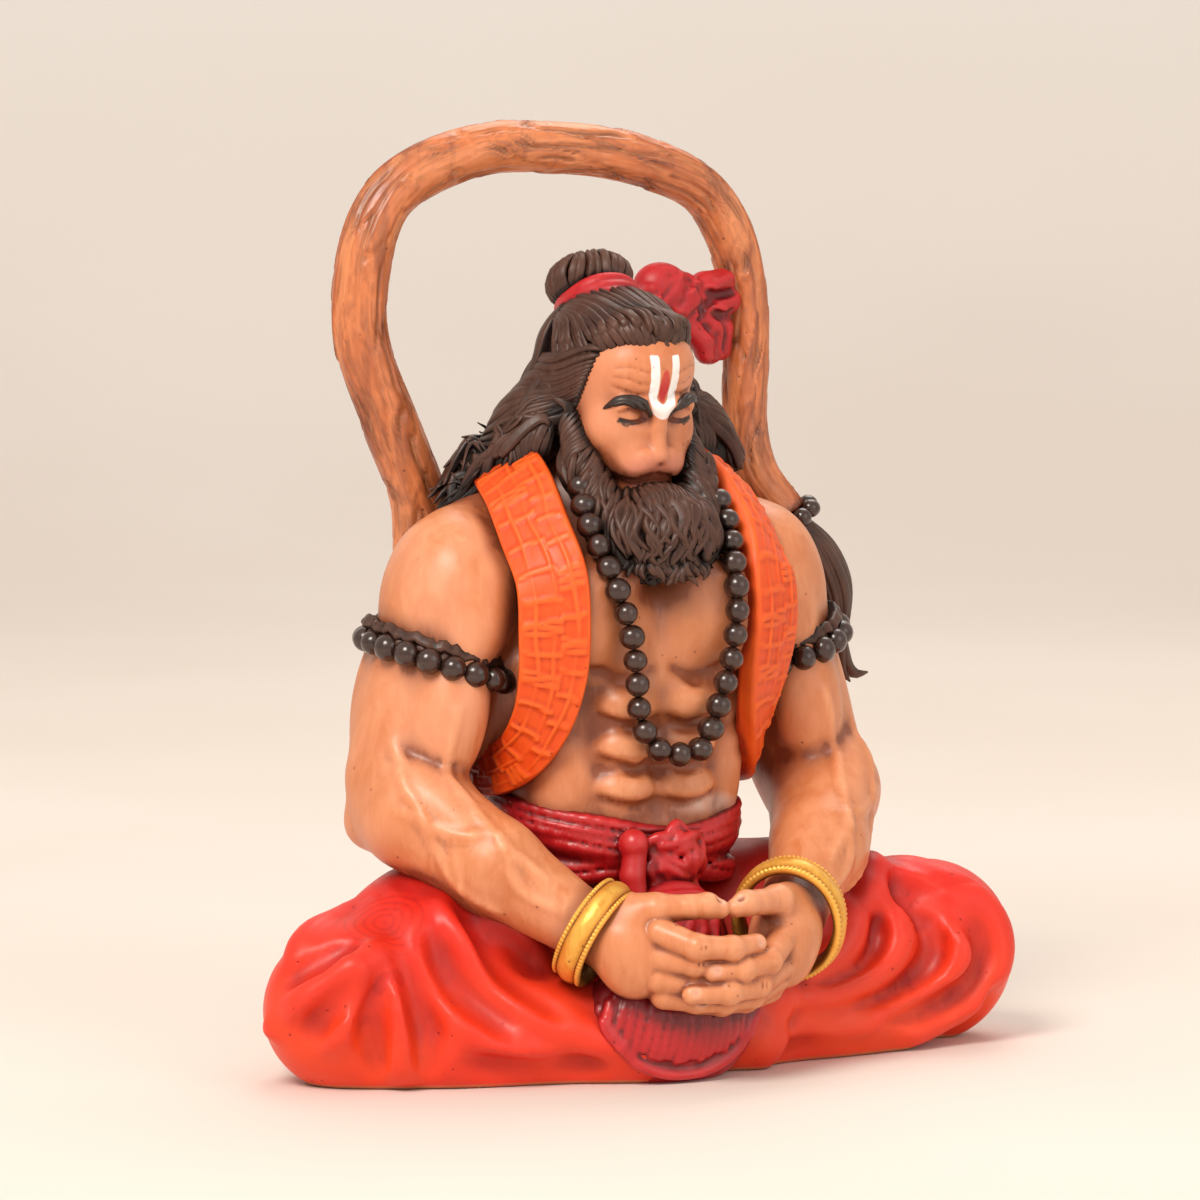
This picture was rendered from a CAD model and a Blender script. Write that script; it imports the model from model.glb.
import math

import bmesh
import bpy
import numpy as np
from mathutils import Matrix, Vector


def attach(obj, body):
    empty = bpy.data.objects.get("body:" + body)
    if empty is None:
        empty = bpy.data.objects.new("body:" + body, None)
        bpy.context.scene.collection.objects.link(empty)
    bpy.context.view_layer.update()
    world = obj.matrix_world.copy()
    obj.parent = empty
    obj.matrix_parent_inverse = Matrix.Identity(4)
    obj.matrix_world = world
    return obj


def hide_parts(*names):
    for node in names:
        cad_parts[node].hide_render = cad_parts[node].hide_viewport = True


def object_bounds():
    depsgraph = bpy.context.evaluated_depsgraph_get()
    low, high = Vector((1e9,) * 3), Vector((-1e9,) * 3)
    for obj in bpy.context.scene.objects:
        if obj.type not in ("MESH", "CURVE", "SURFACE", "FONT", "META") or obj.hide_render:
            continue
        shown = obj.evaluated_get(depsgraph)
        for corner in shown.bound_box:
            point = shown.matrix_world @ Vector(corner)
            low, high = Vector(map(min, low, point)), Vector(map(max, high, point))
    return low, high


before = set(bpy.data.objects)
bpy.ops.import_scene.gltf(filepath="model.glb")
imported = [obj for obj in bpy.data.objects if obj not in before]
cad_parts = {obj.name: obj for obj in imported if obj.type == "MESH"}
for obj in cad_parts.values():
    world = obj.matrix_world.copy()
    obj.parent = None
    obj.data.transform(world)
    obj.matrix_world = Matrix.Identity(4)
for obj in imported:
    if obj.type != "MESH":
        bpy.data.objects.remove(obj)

CAD_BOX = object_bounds()
MM = 0.001  # the figure is modelled in millimetres and written in metres
CAST = "hanuman_statue"
FLOOR = 2.2  # the level in the drawing at which the underside is cut flat
FAR = 1e3  # further than any form reaches, in millimetres
CORNERS = [(dx, dy, dz) for dx in (0, 1) for dy in (0, 1) for dz in (0, 1)]
rng = np.random.default_rng(11)

# Sizes, in millimetres
BEAD = 5.5
ARM_BEAD = 5.5
TAIL_BEAD = 4.4
BANGLE_RADIUS = 9.6
TAIL_ROOT = 13.2
TAIL_END = 10.4
SHAWL_WIDTH = 14.6
SHAWL_THICKNESS = 4.4
FINGER = 4.9

# The photograph's camera: a long lens, a little above the figure's middle
VIEW_TURN = math.radians(-28)
VIEW_LIFT = math.radians(5)
VIEW_FAR = 1500
VIEW_LENS = 210.6
VIEW_AIM = np.array([-0.94, 0.5, 99.5])
VIEW_REACH = (1350, 1640)  # how far from the camera the figure begins and ends
SENSOR = 36
PHOTO = 1200
TO_CAMERA = np.array([math.sin(VIEW_TURN) * math.cos(VIEW_LIFT), -math.cos(VIEW_TURN) * math.cos(VIEW_LIFT),
                      math.sin(VIEW_LIFT)])


def put(name, data, spot=None, way=None):
    """Links an object of some data to the scene, at a spot and looking some way if they are given."""
    obj = bpy.data.objects.new(name, data)
    bpy.context.scene.collection.objects.link(obj)
    if spot is not None:
        obj.location = Vector(spot)
        obj.rotation_mode = "QUATERNION"
        obj.rotation_quaternion = Vector(way).to_track_quat("-Z", "Y")
    return obj


def place_camera():
    spot = (VIEW_AIM + TO_CAMERA * VIEW_FAR - (0, 0, FLOOR)) * MM
    camera = put("camera", bpy.data.cameras.new("camera"), spot, -TO_CAMERA)
    camera.data.sensor_width = SENSOR
    camera.data.lens = VIEW_LENS
    camera.data.clip_end = 20
    bpy.context.scene.camera = camera


def view_ray(px, py):
    """A line from the camera through a point of the 1200 pixel frame."""
    right = np.array([math.cos(VIEW_TURN), math.sin(VIEW_TURN), 0])
    up = np.cross(TO_CAMERA, right)
    scale = SENSOR / VIEW_LENS / PHOTO
    way = -TO_CAMERA + right * (px - PHOTO / 2) * scale - up * (py - PHOTO / 2) * scale
    return VIEW_AIM + TO_CAMERA * VIEW_FAR, way / np.linalg.norm(way)


# Modelling clay: distances on a grid, negative inside, joined with soft seams

def soft_least(a, b, soft):
    if soft <= 0:
        return np.minimum(a, b)
    near = np.maximum(soft - np.abs(a - b), 0) / soft
    return np.minimum(a, b) - near * near * soft * 0.25


def worked(old, form, soft, cut):
    """A field with a form added to it, or cut out of it."""
    return -soft_least(-old, form, soft) if cut else soft_least(old, form, soft)


def turned(pitch=0, roll=0, yaw=0):
    """A turn by roll about Y, then by pitch about X, then by yaw about Z."""
    x, y, z = (math.radians(v) for v in (pitch, roll, yaw))
    about_x = np.array([[1, 0, 0], [0, math.cos(x), -math.sin(x)], [0, math.sin(x), math.cos(x)]])
    about_y = np.array([[math.cos(y), 0, math.sin(y)], [0, 1, 0], [-math.sin(y), 0, math.cos(y)]])
    about_z = np.array([[math.cos(z), -math.sin(z), 0], [math.sin(z), math.cos(z), 0], [0, 0, 1]])
    return about_z @ about_x @ about_y


class Clay:
    def __init__(self, low, high, cell, halo=0.0):
        self.low = np.array(low, float)
        self.cell = cell
        self.halo = halo
        count = np.ceil((np.array(high, float) - self.low) / cell).astype(int) + 1
        self.field = np.full(count, FAR, np.float32)
        self.origin = np.zeros(3)
        self.turn = turned()

    def local(self, origin, turn):
        """The same clay, worked in a moved and turned frame."""
        other = object.__new__(Clay)
        other.__dict__ = dict(self.__dict__, origin=np.array(origin, float), turn=turned(*turn))
        return other

    def at(self, p):
        return self.turn @ np.array(p, float) + self.origin

    def all_at(self, points):
        return [self.at(p) for p in points]

    def work(self, low, high, margin, change):
        margin = margin + 2 * self.cell + self.halo
        count = np.array(self.field.shape)
        a = np.clip(np.floor((low - margin - self.low) / self.cell).astype(int), 0, count - 1)
        b = np.clip(np.ceil((high + margin - self.low) / self.cell).astype(int) + 1, 1, count)
        if (b <= a).any():
            return
        spot = tuple(slice(i, j) for i, j in zip(a, b))
        axes = [(self.low[k] + self.cell * np.arange(a[k], b[k])).astype(np.float32) for k in range(3)]
        x, y, z = axes[0][:, None, None], axes[1][None, :, None], axes[2][None, None, :]
        self.field[spot] = change(self.field[spot], x, y, z)

    def stick(self, a, b, ra, rb, soft=0.0, cut=False):
        a, b = self.at(a), self.at(b)
        along = b - a
        length2 = max(along @ along, 1e-9)
        reach = max(ra, rb)

        def change(old, x, y, z):
            px, py, pz = x - np.float32(a[0]), y - np.float32(a[1]), z - np.float32(a[2])
            t = np.clip((px * along[0] + py * along[1] + pz * along[2]) / length2, 0, 1).astype(np.float32)
            d = np.sqrt((px - t * along[0]) ** 2 + (py - t * along[1]) ** 2 + (pz - t * along[2]) ** 2)
            d = (d - (ra + (rb - ra) * t)).astype(np.float32)
            return worked(old, d, soft, cut)

        self.work(np.minimum(a, b) - reach, np.maximum(a, b) + reach, soft, change)

    def limb(self, points, radii, soft=0.0, cut=False):
        if np.isscalar(radii):
            radii = [radii] * len(points)
        for i in range(len(points) - 1):
            self.stick(points[i], points[i + 1], radii[i], radii[i + 1], soft, cut)

    def ball(self, centre, half, soft, own, cut):
        centre = self.at(centre)
        back = (self.turn @ own).T
        half = np.array(half, float)
        box = np.sqrt(((back * half[:, None]) ** 2).sum(axis=0))

        def change(old, x, y, z):
            px, py, pz = x - np.float32(centre[0]), y - np.float32(centre[1]), z - np.float32(centre[2])
            q = [(back[k, 0] * px + back[k, 1] * py + back[k, 2] * pz) / half[k] for k in range(3)]
            k0 = np.sqrt(q[0] ** 2 + q[1] ** 2 + q[2] ** 2)
            k1 = np.sqrt((q[0] / half[0]) ** 2 + (q[1] / half[1]) ** 2 + (q[2] / half[2]) ** 2)
            d = (k0 * (k0 - 1) / np.maximum(k1, 1e-6)).astype(np.float32)
            return worked(old, d, soft, cut)

        self.work(centre - box, centre + box, soft, change)

    def blob(self, centre, half, soft=0.0, turn=(0, 0, 0), cut=False):
        self.ball(centre, half, soft, turned(*turn), cut)

    def muscle(self, a, b, wide, deep, soft=0.0):
        """An ellipsoid whose long axis runs from a to b."""
        a, b = np.array(a, float), np.array(b, float)
        way = b - a
        long = np.linalg.norm(way) / 2
        z = way / np.linalg.norm(way)
        x = np.cross([0, 1, 0] if abs(z[1]) < 0.9 else [1, 0, 0], z)
        x /= np.linalg.norm(x)
        own = np.column_stack([x, np.cross(z, x), z])
        self.ball((a + b) / 2, (wide, deep, long), soft, own, False)

    def floor(self):
        z = self.low[2] + self.cell * np.arange(self.field.shape[2])
        self.field = np.maximum(self.field, (FLOOR - z)[None, None, :].astype(np.float32))

    def sample(self, points):
        """The field and its slope at any points, between the grid's own."""
        g = (points - self.low) / self.cell
        i = np.clip(np.floor(g).astype(int), 0, np.array(self.field.shape) - 2)
        f = g - i
        value = np.zeros(len(points))
        slope = np.zeros((len(points), 3))
        for corner in CORNERS:
            v = self.field[tuple((i + corner).T)]
            w = [f[:, k] if corner[k] else 1 - f[:, k] for k in range(3)]
            side = [1 if k else -1 for k in corner]
            value += v * w[0] * w[1] * w[2]
            slope[:, 0] += v * side[0] * w[1] * w[2]
            slope[:, 1] += v * w[0] * side[1] * w[2]
            slope[:, 2] += v * w[0] * w[1] * side[2]
        return value, slope / self.cell

    def onto(self, points, lift=0.0, steps=6):
        """Moves points to the clay's surface, or to a level above it."""
        points = np.array(points, float)
        for _ in range(steps):
            value, slope = self.sample(points)
            size2 = np.maximum((slope ** 2).sum(axis=1), 0.05)
            move = -slope * ((np.clip(value, -6, 6) - lift) / size2)[:, None]
            points += move * 0.8
        return points

    def seen(self, px, py):
        """The point of the surface that shows at a pixel of the photograph's frame."""
        start, way = view_ray(px, py)
        far = np.arange(*VIEW_REACH, 0.5)
        points = start + way * far[:, None]
        value, _ = self.sample(points)
        high = self.low + self.cell * (np.array(self.field.shape) - 1)
        inside = (value < 0) & (points > self.low).all(axis=1) & (points < high).all(axis=1)
        if not inside.any():
            return None
        return points[np.argmax(inside)]

    def seen_line(self, pixels, step=2.0):
        """A smooth line over the surface through the points that show at some pixels."""
        found = [p for p in (self.seen(x, y) for x, y in pixels) if p is not None]
        return smooth_line(found, step) if len(found) > 1 else []

    def skin(self):
        """One vertex in each cell that the surface crosses, one quad for each grid edge that it cuts."""
        f = self.field
        inside = f < 0
        near = np.zeros(tuple(np.array(f.shape) - 1), np.int8)
        sx, sy, sz = f.shape
        for dx, dy, dz in CORNERS:
            near += inside[dx:sx - 1 + dx, dy:sy - 1 + dy, dz:sz - 1 + dz]
        active = (near > 0) & (near < 8)
        index = np.full(active.shape, -1, np.int64)
        cells = np.argwhere(active)
        index[active] = np.arange(len(cells))
        total = np.zeros((len(cells), 3))
        hits = np.zeros(len(cells))
        for axis in range(3):
            for u in (0, 1):
                for v in (0, 1):
                    corner = np.zeros(3, int)
                    corner[(axis + 1) % 3] = u
                    corner[(axis + 2) % 3] = v
                    p = cells + corner
                    q = p.copy()
                    q[:, axis] += 1
                    a = f[p[:, 0], p[:, 1], p[:, 2]]
                    b = f[q[:, 0], q[:, 1], q[:, 2]]
                    cross = (a < 0) != (b < 0)
                    t = np.zeros(len(cells))
                    t[cross] = a[cross] / (a[cross] - b[cross])
                    total[cross] += corner
                    total[cross, axis] += t[cross]
                    hits += cross
        verts = self.low + (cells + total / hits[:, None]) * self.cell
        quads = []
        for axis in range(3):
            first = [slice(0, n) for n in f.shape]
            second = list(first)
            first[axis] = slice(0, f.shape[axis] - 1)
            second[axis] = slice(1, f.shape[axis])
            cut = inside[tuple(first)] != inside[tuple(second)]
            p = np.argwhere(cut)
            a1, a2 = (axis + 1) % 3, (axis + 2) % 3
            for k in (a1, a2):
                p = p[(p[:, k] > 0) & (p[:, k] < f.shape[k] - 1)]
            e1, e2 = np.zeros(3, int), np.zeros(3, int)
            e1[a1] = 1
            e2[a2] = 1
            ring = [p - e1 - e2, p - e2, p, p - e1]
            quad = np.column_stack([index[r[:, 0], r[:, 1], r[:, 2]] for r in ring])
            out = inside[p[:, 0], p[:, 1], p[:, 2]]
            quads.append(np.where(out[:, None], quad, quad[:, ::-1]))
        quads = np.concatenate(quads)
        for _ in range(3):
            verts = verts + 0.55 * (neighbour_mean(verts, quads) - verts)
            value, slope = self.sample(verts)
            size2 = np.maximum((slope ** 2).sum(axis=1), 0.2)
            verts = verts - slope * (np.clip(value, -self.cell, self.cell) / size2)[:, None]
        return verts, quads


def neighbour_mean(verts, faces):
    n = len(verts)
    total = np.zeros((n, 3))
    count = np.zeros(n)
    sides = faces.shape[1]
    for k in range(sides):
        a, b = faces[:, k], faces[:, (k + 1) % sides]
        for axis in range(3):
            total[:, axis] += np.bincount(a, verts[b, axis], n) + np.bincount(b, verts[a, axis], n)
        count += np.bincount(a, minlength=n) + np.bincount(b, minlength=n)
    return total / np.maximum(count, 1)[:, None]


def smooth_line(points, step=2.0, closed=False):
    """Points a given step apart on a smooth curve through some points."""
    p = np.array(points, float)
    if len(p) == 2:
        n = max(2, int(np.linalg.norm(p[1] - p[0]) / step) + 1)
        return p[0] + (p[1] - p[0]) * np.linspace(0, 1, n)[:, None]
    ends = (p[-1:], p[:2]) if closed else (2 * p[:1] - p[1:2], 2 * p[-1:] - p[-2:-1])
    ring = np.vstack([ends[0], p, ends[1]])
    fine = []
    for i in range(1, len(ring) - 2):
        a, b, c, d = ring[i - 1:i + 3]
        t = np.linspace(0, 1, 24, endpoint=False)[:, None]
        fine.append(0.5 * (2 * b + (c - a) * t + (2 * a - 5 * b + 4 * c - d) * t ** 2
                           + (3 * b - a - 3 * c + d) * t ** 3))
    fine = np.vstack(fine + [ring[-2:-1]])
    run = np.concatenate([[0], np.cumsum(np.linalg.norm(np.diff(fine, axis=0), axis=1))])
    n = max(2, int(round(run[-1] / step)) + 1)
    want = np.linspace(0, run[-1], n)
    return np.column_stack([np.interp(want, run, fine[:, k]) for k in range(3)])


def noise(p, seed=0):
    """Smooth noise from -1 to 1 at points."""
    i = np.floor(p).astype(np.int64)
    f = p - i
    w = f * f * (3 - 2 * f)
    total = 0.0
    for corner in CORNERS:
        at = i + corner
        h = at[..., 0] * 374761393 + at[..., 1] * 668265263 + at[..., 2] * 2147483629
        h = (h + seed * 1274126177) & 0xFFFFFFFF
        h = ((h ^ (h >> 13)) * 1274126177) & 0xFFFFFFFF
        v = (h ^ (h >> 16)) / 2147483648.0 - 1
        share = [w[..., k] if corner[k] else 1 - w[..., k] for k in range(3)]
        total = total + v * (share[0] * share[1]) * share[2]
    return total


def smooth_step(low, high, v):
    t = np.clip((v - low) / (high - low), 0, 1)
    return t * t * (3 - 2 * t)


# Pieces

PIECES = []
CLAYS = []


def set_mark(mesh, mark, values):
    mesh.attributes.new(mark, "FLOAT", "POINT").data.foreach_set("value", np.asarray(values, np.float32))


def piece(name, verts, faces, material, marks=None):
    mesh = bpy.data.meshes.new(name)
    verts = np.clip((np.asarray(verts, float) - (0, 0, FLOOR)) * MM, CAD_BOX[0], CAD_BOX[1])
    if isinstance(faces, np.ndarray):
        sides = faces.shape[1]
        mesh.vertices.add(len(verts))
        mesh.vertices.foreach_set("co", verts.ravel())
        mesh.loops.add(faces.size)
        mesh.loops.foreach_set("vertex_index", faces.ravel().astype(np.int32))
        mesh.polygons.add(len(faces))
        mesh.polygons.foreach_set("loop_start", np.arange(0, faces.size, sides, dtype=np.int32))
        mesh.update(calc_edges=True)
        mesh.validate()
    else:
        mesh.from_pydata(verts.tolist(), [], faces)
    for mark, values in (marks or {}).items():
        set_mark(mesh, mark, values)
    return finish_piece(name, mesh, material)


def finish_piece(name, mesh, material):
    mesh.polygons.foreach_set("use_smooth", np.ones(len(mesh.polygons), bool))
    mesh.materials.clear()
    mesh.materials.append(material)
    obj = put(name, mesh)
    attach(obj, "root")
    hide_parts(CAST)
    PIECES.append(obj)
    return obj


def clay_piece(name, clay, material, marks=None):
    """A piece that is a clay's skin. If marks is given, it works out the masks from the vertices."""
    verts, quads = clay.skin()
    piece(name, verts, quads, material, marks(verts) if marks else None)
    CLAYS.append(clay)
    return clay


def face_outward(mesh, merged=False):
    bm = bmesh.new()
    bm.from_mesh(mesh)
    if merged:
        bmesh.ops.remove_doubles(bm, verts=bm.verts, dist=1e-7)
    bmesh.ops.recalc_face_normals(bm, faces=bm.faces)
    bm.to_mesh(mesh)
    bm.free()


def joined_piece(name, skins, material, marks=None):
    """One piece of several skins, each given as its vertices and faces."""
    verts_all, faces_all, start = [], [], 0
    for verts, faces in skins:
        verts_all.append(verts)
        faces_all += [tuple(k + start for k in f) for f in faces]
        start += len(verts)
    obj = piece(name, np.vstack(verts_all), faces_all, material, marks)
    face_outward(obj.data)


def sweep(ring, closed=False):
    """Vertices and faces of a skin over rows of points, one row a section. Open ends are capped."""
    rows = np.array(ring)
    n, m = rows.shape[:2]
    verts = rows.reshape(-1, 3)
    last = n if closed else n - 1
    i = np.arange(last)[:, None]
    j = np.arange(m)[None, :]
    a = i * m + j
    b = i * m + (j + 1) % m
    c = ((i + 1) % n) * m + (j + 1) % m
    d = ((i + 1) % n) * m + j
    faces = [tuple(q) for q in np.stack([a, b, c, d], axis=-1).reshape(-1, 4)]
    if not closed:
        verts = np.vstack([verts, [rows[0].mean(axis=0), rows[-1].mean(axis=0)]])
        faces += [((k + 1) % m, k, n * m) for k in range(m)]
        faces += [((n - 1) * m + k, (n - 1) * m + (k + 1) % m, n * m + 1) for k in range(m)]
    return verts, faces


def frames(path, up):
    """At each point of a path, two ways across it, the second nearest to up."""
    path = np.array(path, float)
    along = np.gradient(path, axis=0)
    along /= np.linalg.norm(along, axis=1)[:, None]
    side = np.cross(along, np.broadcast_to(np.array(up, float), path.shape))
    side /= np.maximum(np.linalg.norm(side, axis=1), 1e-9)[:, None]
    return side, np.cross(side, along)


def strand_piece(name, locks, material, lobes=4, sides=8, depth=0.22):
    """Locks of hair: tapered round sticks with grooves along them. Each is (points, radii)."""
    profile = bpy.data.curves.new(name + "_section", "CURVE")
    profile.dimensions = "2D"
    spline = profile.splines.new("POLY")
    spline.points.add(sides * 2 - 1)
    spline.use_cyclic_u = True
    for k in range(sides * 2):
        turn = k / (sides * 2) * 2 * math.pi
        r = 1 - depth * (0.5 - 0.5 * math.cos(turn * lobes))
        spline.points[k].co = (r * math.cos(turn), r * math.sin(turn), 0, 1)
    section = put(name + "_section", profile)
    curve = bpy.data.curves.new(name, "CURVE")
    curve.dimensions = "3D"
    curve.bevel_mode = "OBJECT"
    curve.bevel_object = section
    curve.use_fill_caps = True
    curve.twist_mode = "MINIMUM"
    for points, radii in locks:
        spline = curve.splines.new("POLY")
        spline.points.add(len(points) - 1)
        flat_co = np.column_stack([(np.array(points) - (0, 0, FLOOR)) * MM, np.ones(len(points))]).ravel()
        spline.points.foreach_set("co", flat_co)
        spline.points.foreach_set("radius", np.array(radii) * MM)
    obj = put(name + "_curve", curve)
    mesh = bpy.data.meshes.new_from_object(obj.evaluated_get(bpy.context.evaluated_depsgraph_get()))
    mesh.name = name
    for extra in (obj, section):
        data = extra.data
        bpy.data.objects.remove(extra)
        bpy.data.curves.remove(data)
    face_outward(mesh, merged=True)
    finish_piece(name, mesh, material)


# Materials: painted resin

def group(name, inputs, outputs):
    tree = bpy.data.node_groups.new(name, "ShaderNodeTree")
    for label, kind, value in inputs:
        socket = tree.interface.new_socket(label, in_out="INPUT", socket_type=kind)
        if value is not None:
            socket.default_value = value
    for label, kind in outputs:
        tree.interface.new_socket(label, in_out="OUTPUT", socket_type=kind)
    return tree, tree.nodes.new("NodeGroupInput"), tree.nodes.new("NodeGroupOutput")


class Nodes:
    """Short calls for nodes of one tree. In a painted material, worn is its hand_paint node."""

    def __init__(self, tree):
        self.tree = tree
        self.worn = None

    def new(self, kind, **settings):
        node = self.tree.nodes.new("ShaderNode" + kind)
        for key, value in settings.items():
            setattr(node, key, value)
        return node

    def feed(self, socket, value):
        if isinstance(value, bpy.types.NodeSocket):
            self.tree.links.new(value, socket)
        else:
            socket.default_value = value

    def math(self, operation, a, b=0.0, clamp=False):
        node = self.new("Math", operation=operation, use_clamp=clamp)
        self.feed(node.inputs[0], a)
        self.feed(node.inputs[1], b)
        return node.outputs[0]

    def span(self, value, low, high, to_low=0.0, to_high=1.0):
        node = self.new("MapRange")
        for socket, v in zip(node.inputs[:5], (value, low, high, to_low, to_high)):
            self.feed(socket, v)
        return node.outputs[0]

    def mix(self, share, a, b, blend="MIX"):
        node = self.new("Mix", data_type="RGBA", blend_type=blend)
        self.feed(node.inputs[0], share)
        self.feed(node.inputs[6], a)
        self.feed(node.inputs[7], b)
        return node.outputs[2]

    def noise(self, place, scale, detail=4.0, rough=0.55, stretch=None, warp=0.0):
        if stretch is not None:
            mapping = self.new("Mapping")
            self.feed(mapping.inputs["Vector"], place)
            mapping.inputs["Scale"].default_value = stretch
            place = mapping.outputs[0]
        node = self.new("TexNoise")
        self.feed(node.inputs["Vector"], place)
        node.inputs["Scale"].default_value = scale
        node.inputs["Detail"].default_value = detail
        node.inputs["Roughness"].default_value = rough
        node.inputs["Distortion"].default_value = warp
        return node.outputs["Fac"]

    def mark(self, name):
        return self.new("Attribute", attribute_type="GEOMETRY", attribute_name=name).outputs["Fac"]

    def place(self):
        return self.new("TexCoord").outputs["Object"]

    def height(self, place):
        parts = self.new("SeparateXYZ")
        self.feed(parts.inputs[0], place)
        return parts.outputs["Z"]

    def times(self, a, b, clamp=False):
        return self.math("MULTIPLY", a, b, clamp)

    def tint(self, mask, share, colour, other):
        """A colour turned by a share of a mask towards another."""
        return self.mix(self.times(mask, share), colour, other)


def rgb(r, g, b):
    """A colour given as it looks on screen, 0 to 255."""
    shares = (v / 255 for v in (r, g, b))
    return (*(v / 12.92 if v <= 10 / 255 else ((v + 0.055) / 1.055) ** 2.4 for v in shares), 1.0)


def build_weathering():
    """Masks for a hand-painted casting: wash in the hollows, dry brush on the ridges, strokes and pits."""
    tree, inside, outside = group(
        "hand_paint",
        [("Stroke size", "NodeSocketFloat", 260.0), ("Strokes along", "NodeSocketVector", (1, 1, 0.35)),
         ("Wash", "NodeSocketFloat", 1.0), ("Dry brush", "NodeSocketFloat", 1.0)],
        [("Hollow", "NodeSocketFloat"), ("Ridge", "NodeSocketFloat"), ("Stroke", "NodeSocketFloat"),
         ("Patch", "NodeSocketFloat"), ("Speck", "NodeSocketFloat"), ("Relief", "NodeSocketFloat")])
    n = Nodes(tree)
    place = n.place()
    stretched = n.new("VectorMath", operation="MULTIPLY")
    n.feed(stretched.inputs[0], place)
    n.feed(stretched.inputs[1], inside.outputs["Strokes along"])
    strokes = n.new("TexNoise")
    n.feed(strokes.inputs["Vector"], stretched.outputs[0])
    n.feed(strokes.inputs["Scale"], inside.outputs["Stroke size"])
    strokes.inputs["Detail"].default_value = 5
    strokes.inputs["Roughness"].default_value = 0.6
    strokes.inputs["Distortion"].default_value = 0.6
    patch = n.noise(place, 55, 3, 0.5)
    fine = n.mark("fine")
    deep = n.mark("deep")
    broken = n.span(strokes.outputs["Fac"], 0.35, 0.65, 0.6, 1.25)
    hollow = n.math("ADD", n.span(fine, 0.02, 0.3), n.span(deep, 0.06, 0.55))
    hollow = n.times(n.times(hollow, broken), inside.outputs["Wash"], clamp=True)
    ridge = n.math("ADD", n.span(fine, -0.02, -0.28), n.span(deep, -0.1, -0.6, 0, 0.6))
    ridge = n.times(n.times(ridge, broken), inside.outputs["Dry brush"], clamp=True)
    specks = n.new("TexVoronoi")
    n.feed(specks.inputs["Vector"], place)
    specks.inputs["Scale"].default_value = 330
    rarely = n.noise(place, 150, 1, 0.5)
    speck = n.times(n.span(specks.outputs["Distance"], 0.13, 0.07), n.span(rarely, 0.56, 0.62), clamp=True)
    relief = n.math("ADD", n.times(strokes.outputs["Fac"], 0.5), n.times(speck, -0.7))
    for label, value in (("Hollow", hollow), ("Ridge", ridge),
                         ("Stroke", n.span(strokes.outputs["Fac"], 0.3, 0.7)),
                         ("Patch", n.span(patch, 0.35, 0.65)), ("Speck", speck), ("Relief", relief)):
        n.feed(outside.inputs[label], value)
    return tree


WEATHERING = build_weathering()


def painted(name, base, light, dark, rough=0.42, gloss=0.1, wash=1.0, dry=1.0, strokes=260.0,
            along=(1, 1, 0.35), vary=0.35, bump=0.25, extra=None, metallic=0.0, skin=0.0, speck=0.6,
            coat=0.0, shine=0.5):
    material = bpy.data.materials.new(name)
    material.use_nodes = True
    tree = material.node_tree
    n = Nodes(tree)
    shader = tree.nodes["Principled BSDF"]
    worn = n.worn = n.new("Group", node_tree=WEATHERING)
    worn.inputs["Stroke size"].default_value = strokes
    worn.inputs["Strokes along"].default_value = along
    worn.inputs["Wash"].default_value = wash
    worn.inputs["Dry brush"].default_value = dry
    colour = n.tint(worn.outputs["Stroke"], vary, base, light)
    colour = n.tint(worn.outputs["Patch"], vary * 0.7, colour, base)
    if extra:
        colour = extra(n, colour)
    colour = n.tint(worn.outputs["Ridge"], 0.8, colour, light)
    colour = n.tint(worn.outputs["Hollow"], 0.85, colour, dark)
    colour = n.tint(worn.outputs["Speck"], speck, colour, dark)
    n.feed(shader.inputs["Base Color"], colour)
    n.feed(shader.inputs["Roughness"], n.span(worn.outputs["Stroke"], 0, 1, rough - gloss, rough + gloss))
    shader.inputs["Metallic"].default_value = metallic
    shader.inputs["Coat Weight"].default_value = coat
    shader.inputs["Coat Roughness"].default_value = 0.25
    shader.inputs["Specular IOR Level"].default_value = shine
    if skin:
        shader.inputs["Subsurface Weight"].default_value = skin
        shader.inputs["Subsurface Radius"].default_value = (1.0, 0.4, 0.2)
        shader.inputs["Subsurface Scale"].default_value = 0.0012
    relief = n.new("Bump")
    relief.inputs["Strength"].default_value = bump
    relief.inputs["Distance"].default_value = 0.0004
    n.feed(relief.inputs["Height"], worn.outputs["Relief"])
    n.feed(shader.inputs["Normal"], relief.outputs["Normal"])
    return material


def skin_lights(n, colour):
    """Pinkish lights brushed over the brown, mostly on upper faces."""
    place = n.place()
    blush = n.noise(place, 34, 2, 0.5, warp=0.4)
    colour = n.tint(n.span(blush, 0.52, 0.7), 0.6, colour, rgb(224, 152, 116))
    tan = n.noise(place, 70, 4, 0.62, stretch=(1, 1, 0.45))
    return n.tint(n.span(tan, 0.5, 0.68), 0.5, colour, rgb(186, 106, 60))


def belly_light(n, colour):
    colour = skin_lights(n, colour)
    stroked = n.span(n.worn.outputs["Stroke"], 0.0, 0.8, 0.5, 1.0)
    wet = n.times(n.span(n.mark("belly_light"), 0.2, 0.8), stroked)
    colour = n.tint(n.mark("nail"), 0.55, colour, rgb(236, 182, 158))
    return n.mix(wet, colour, rgb(236, 205, 190))


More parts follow.
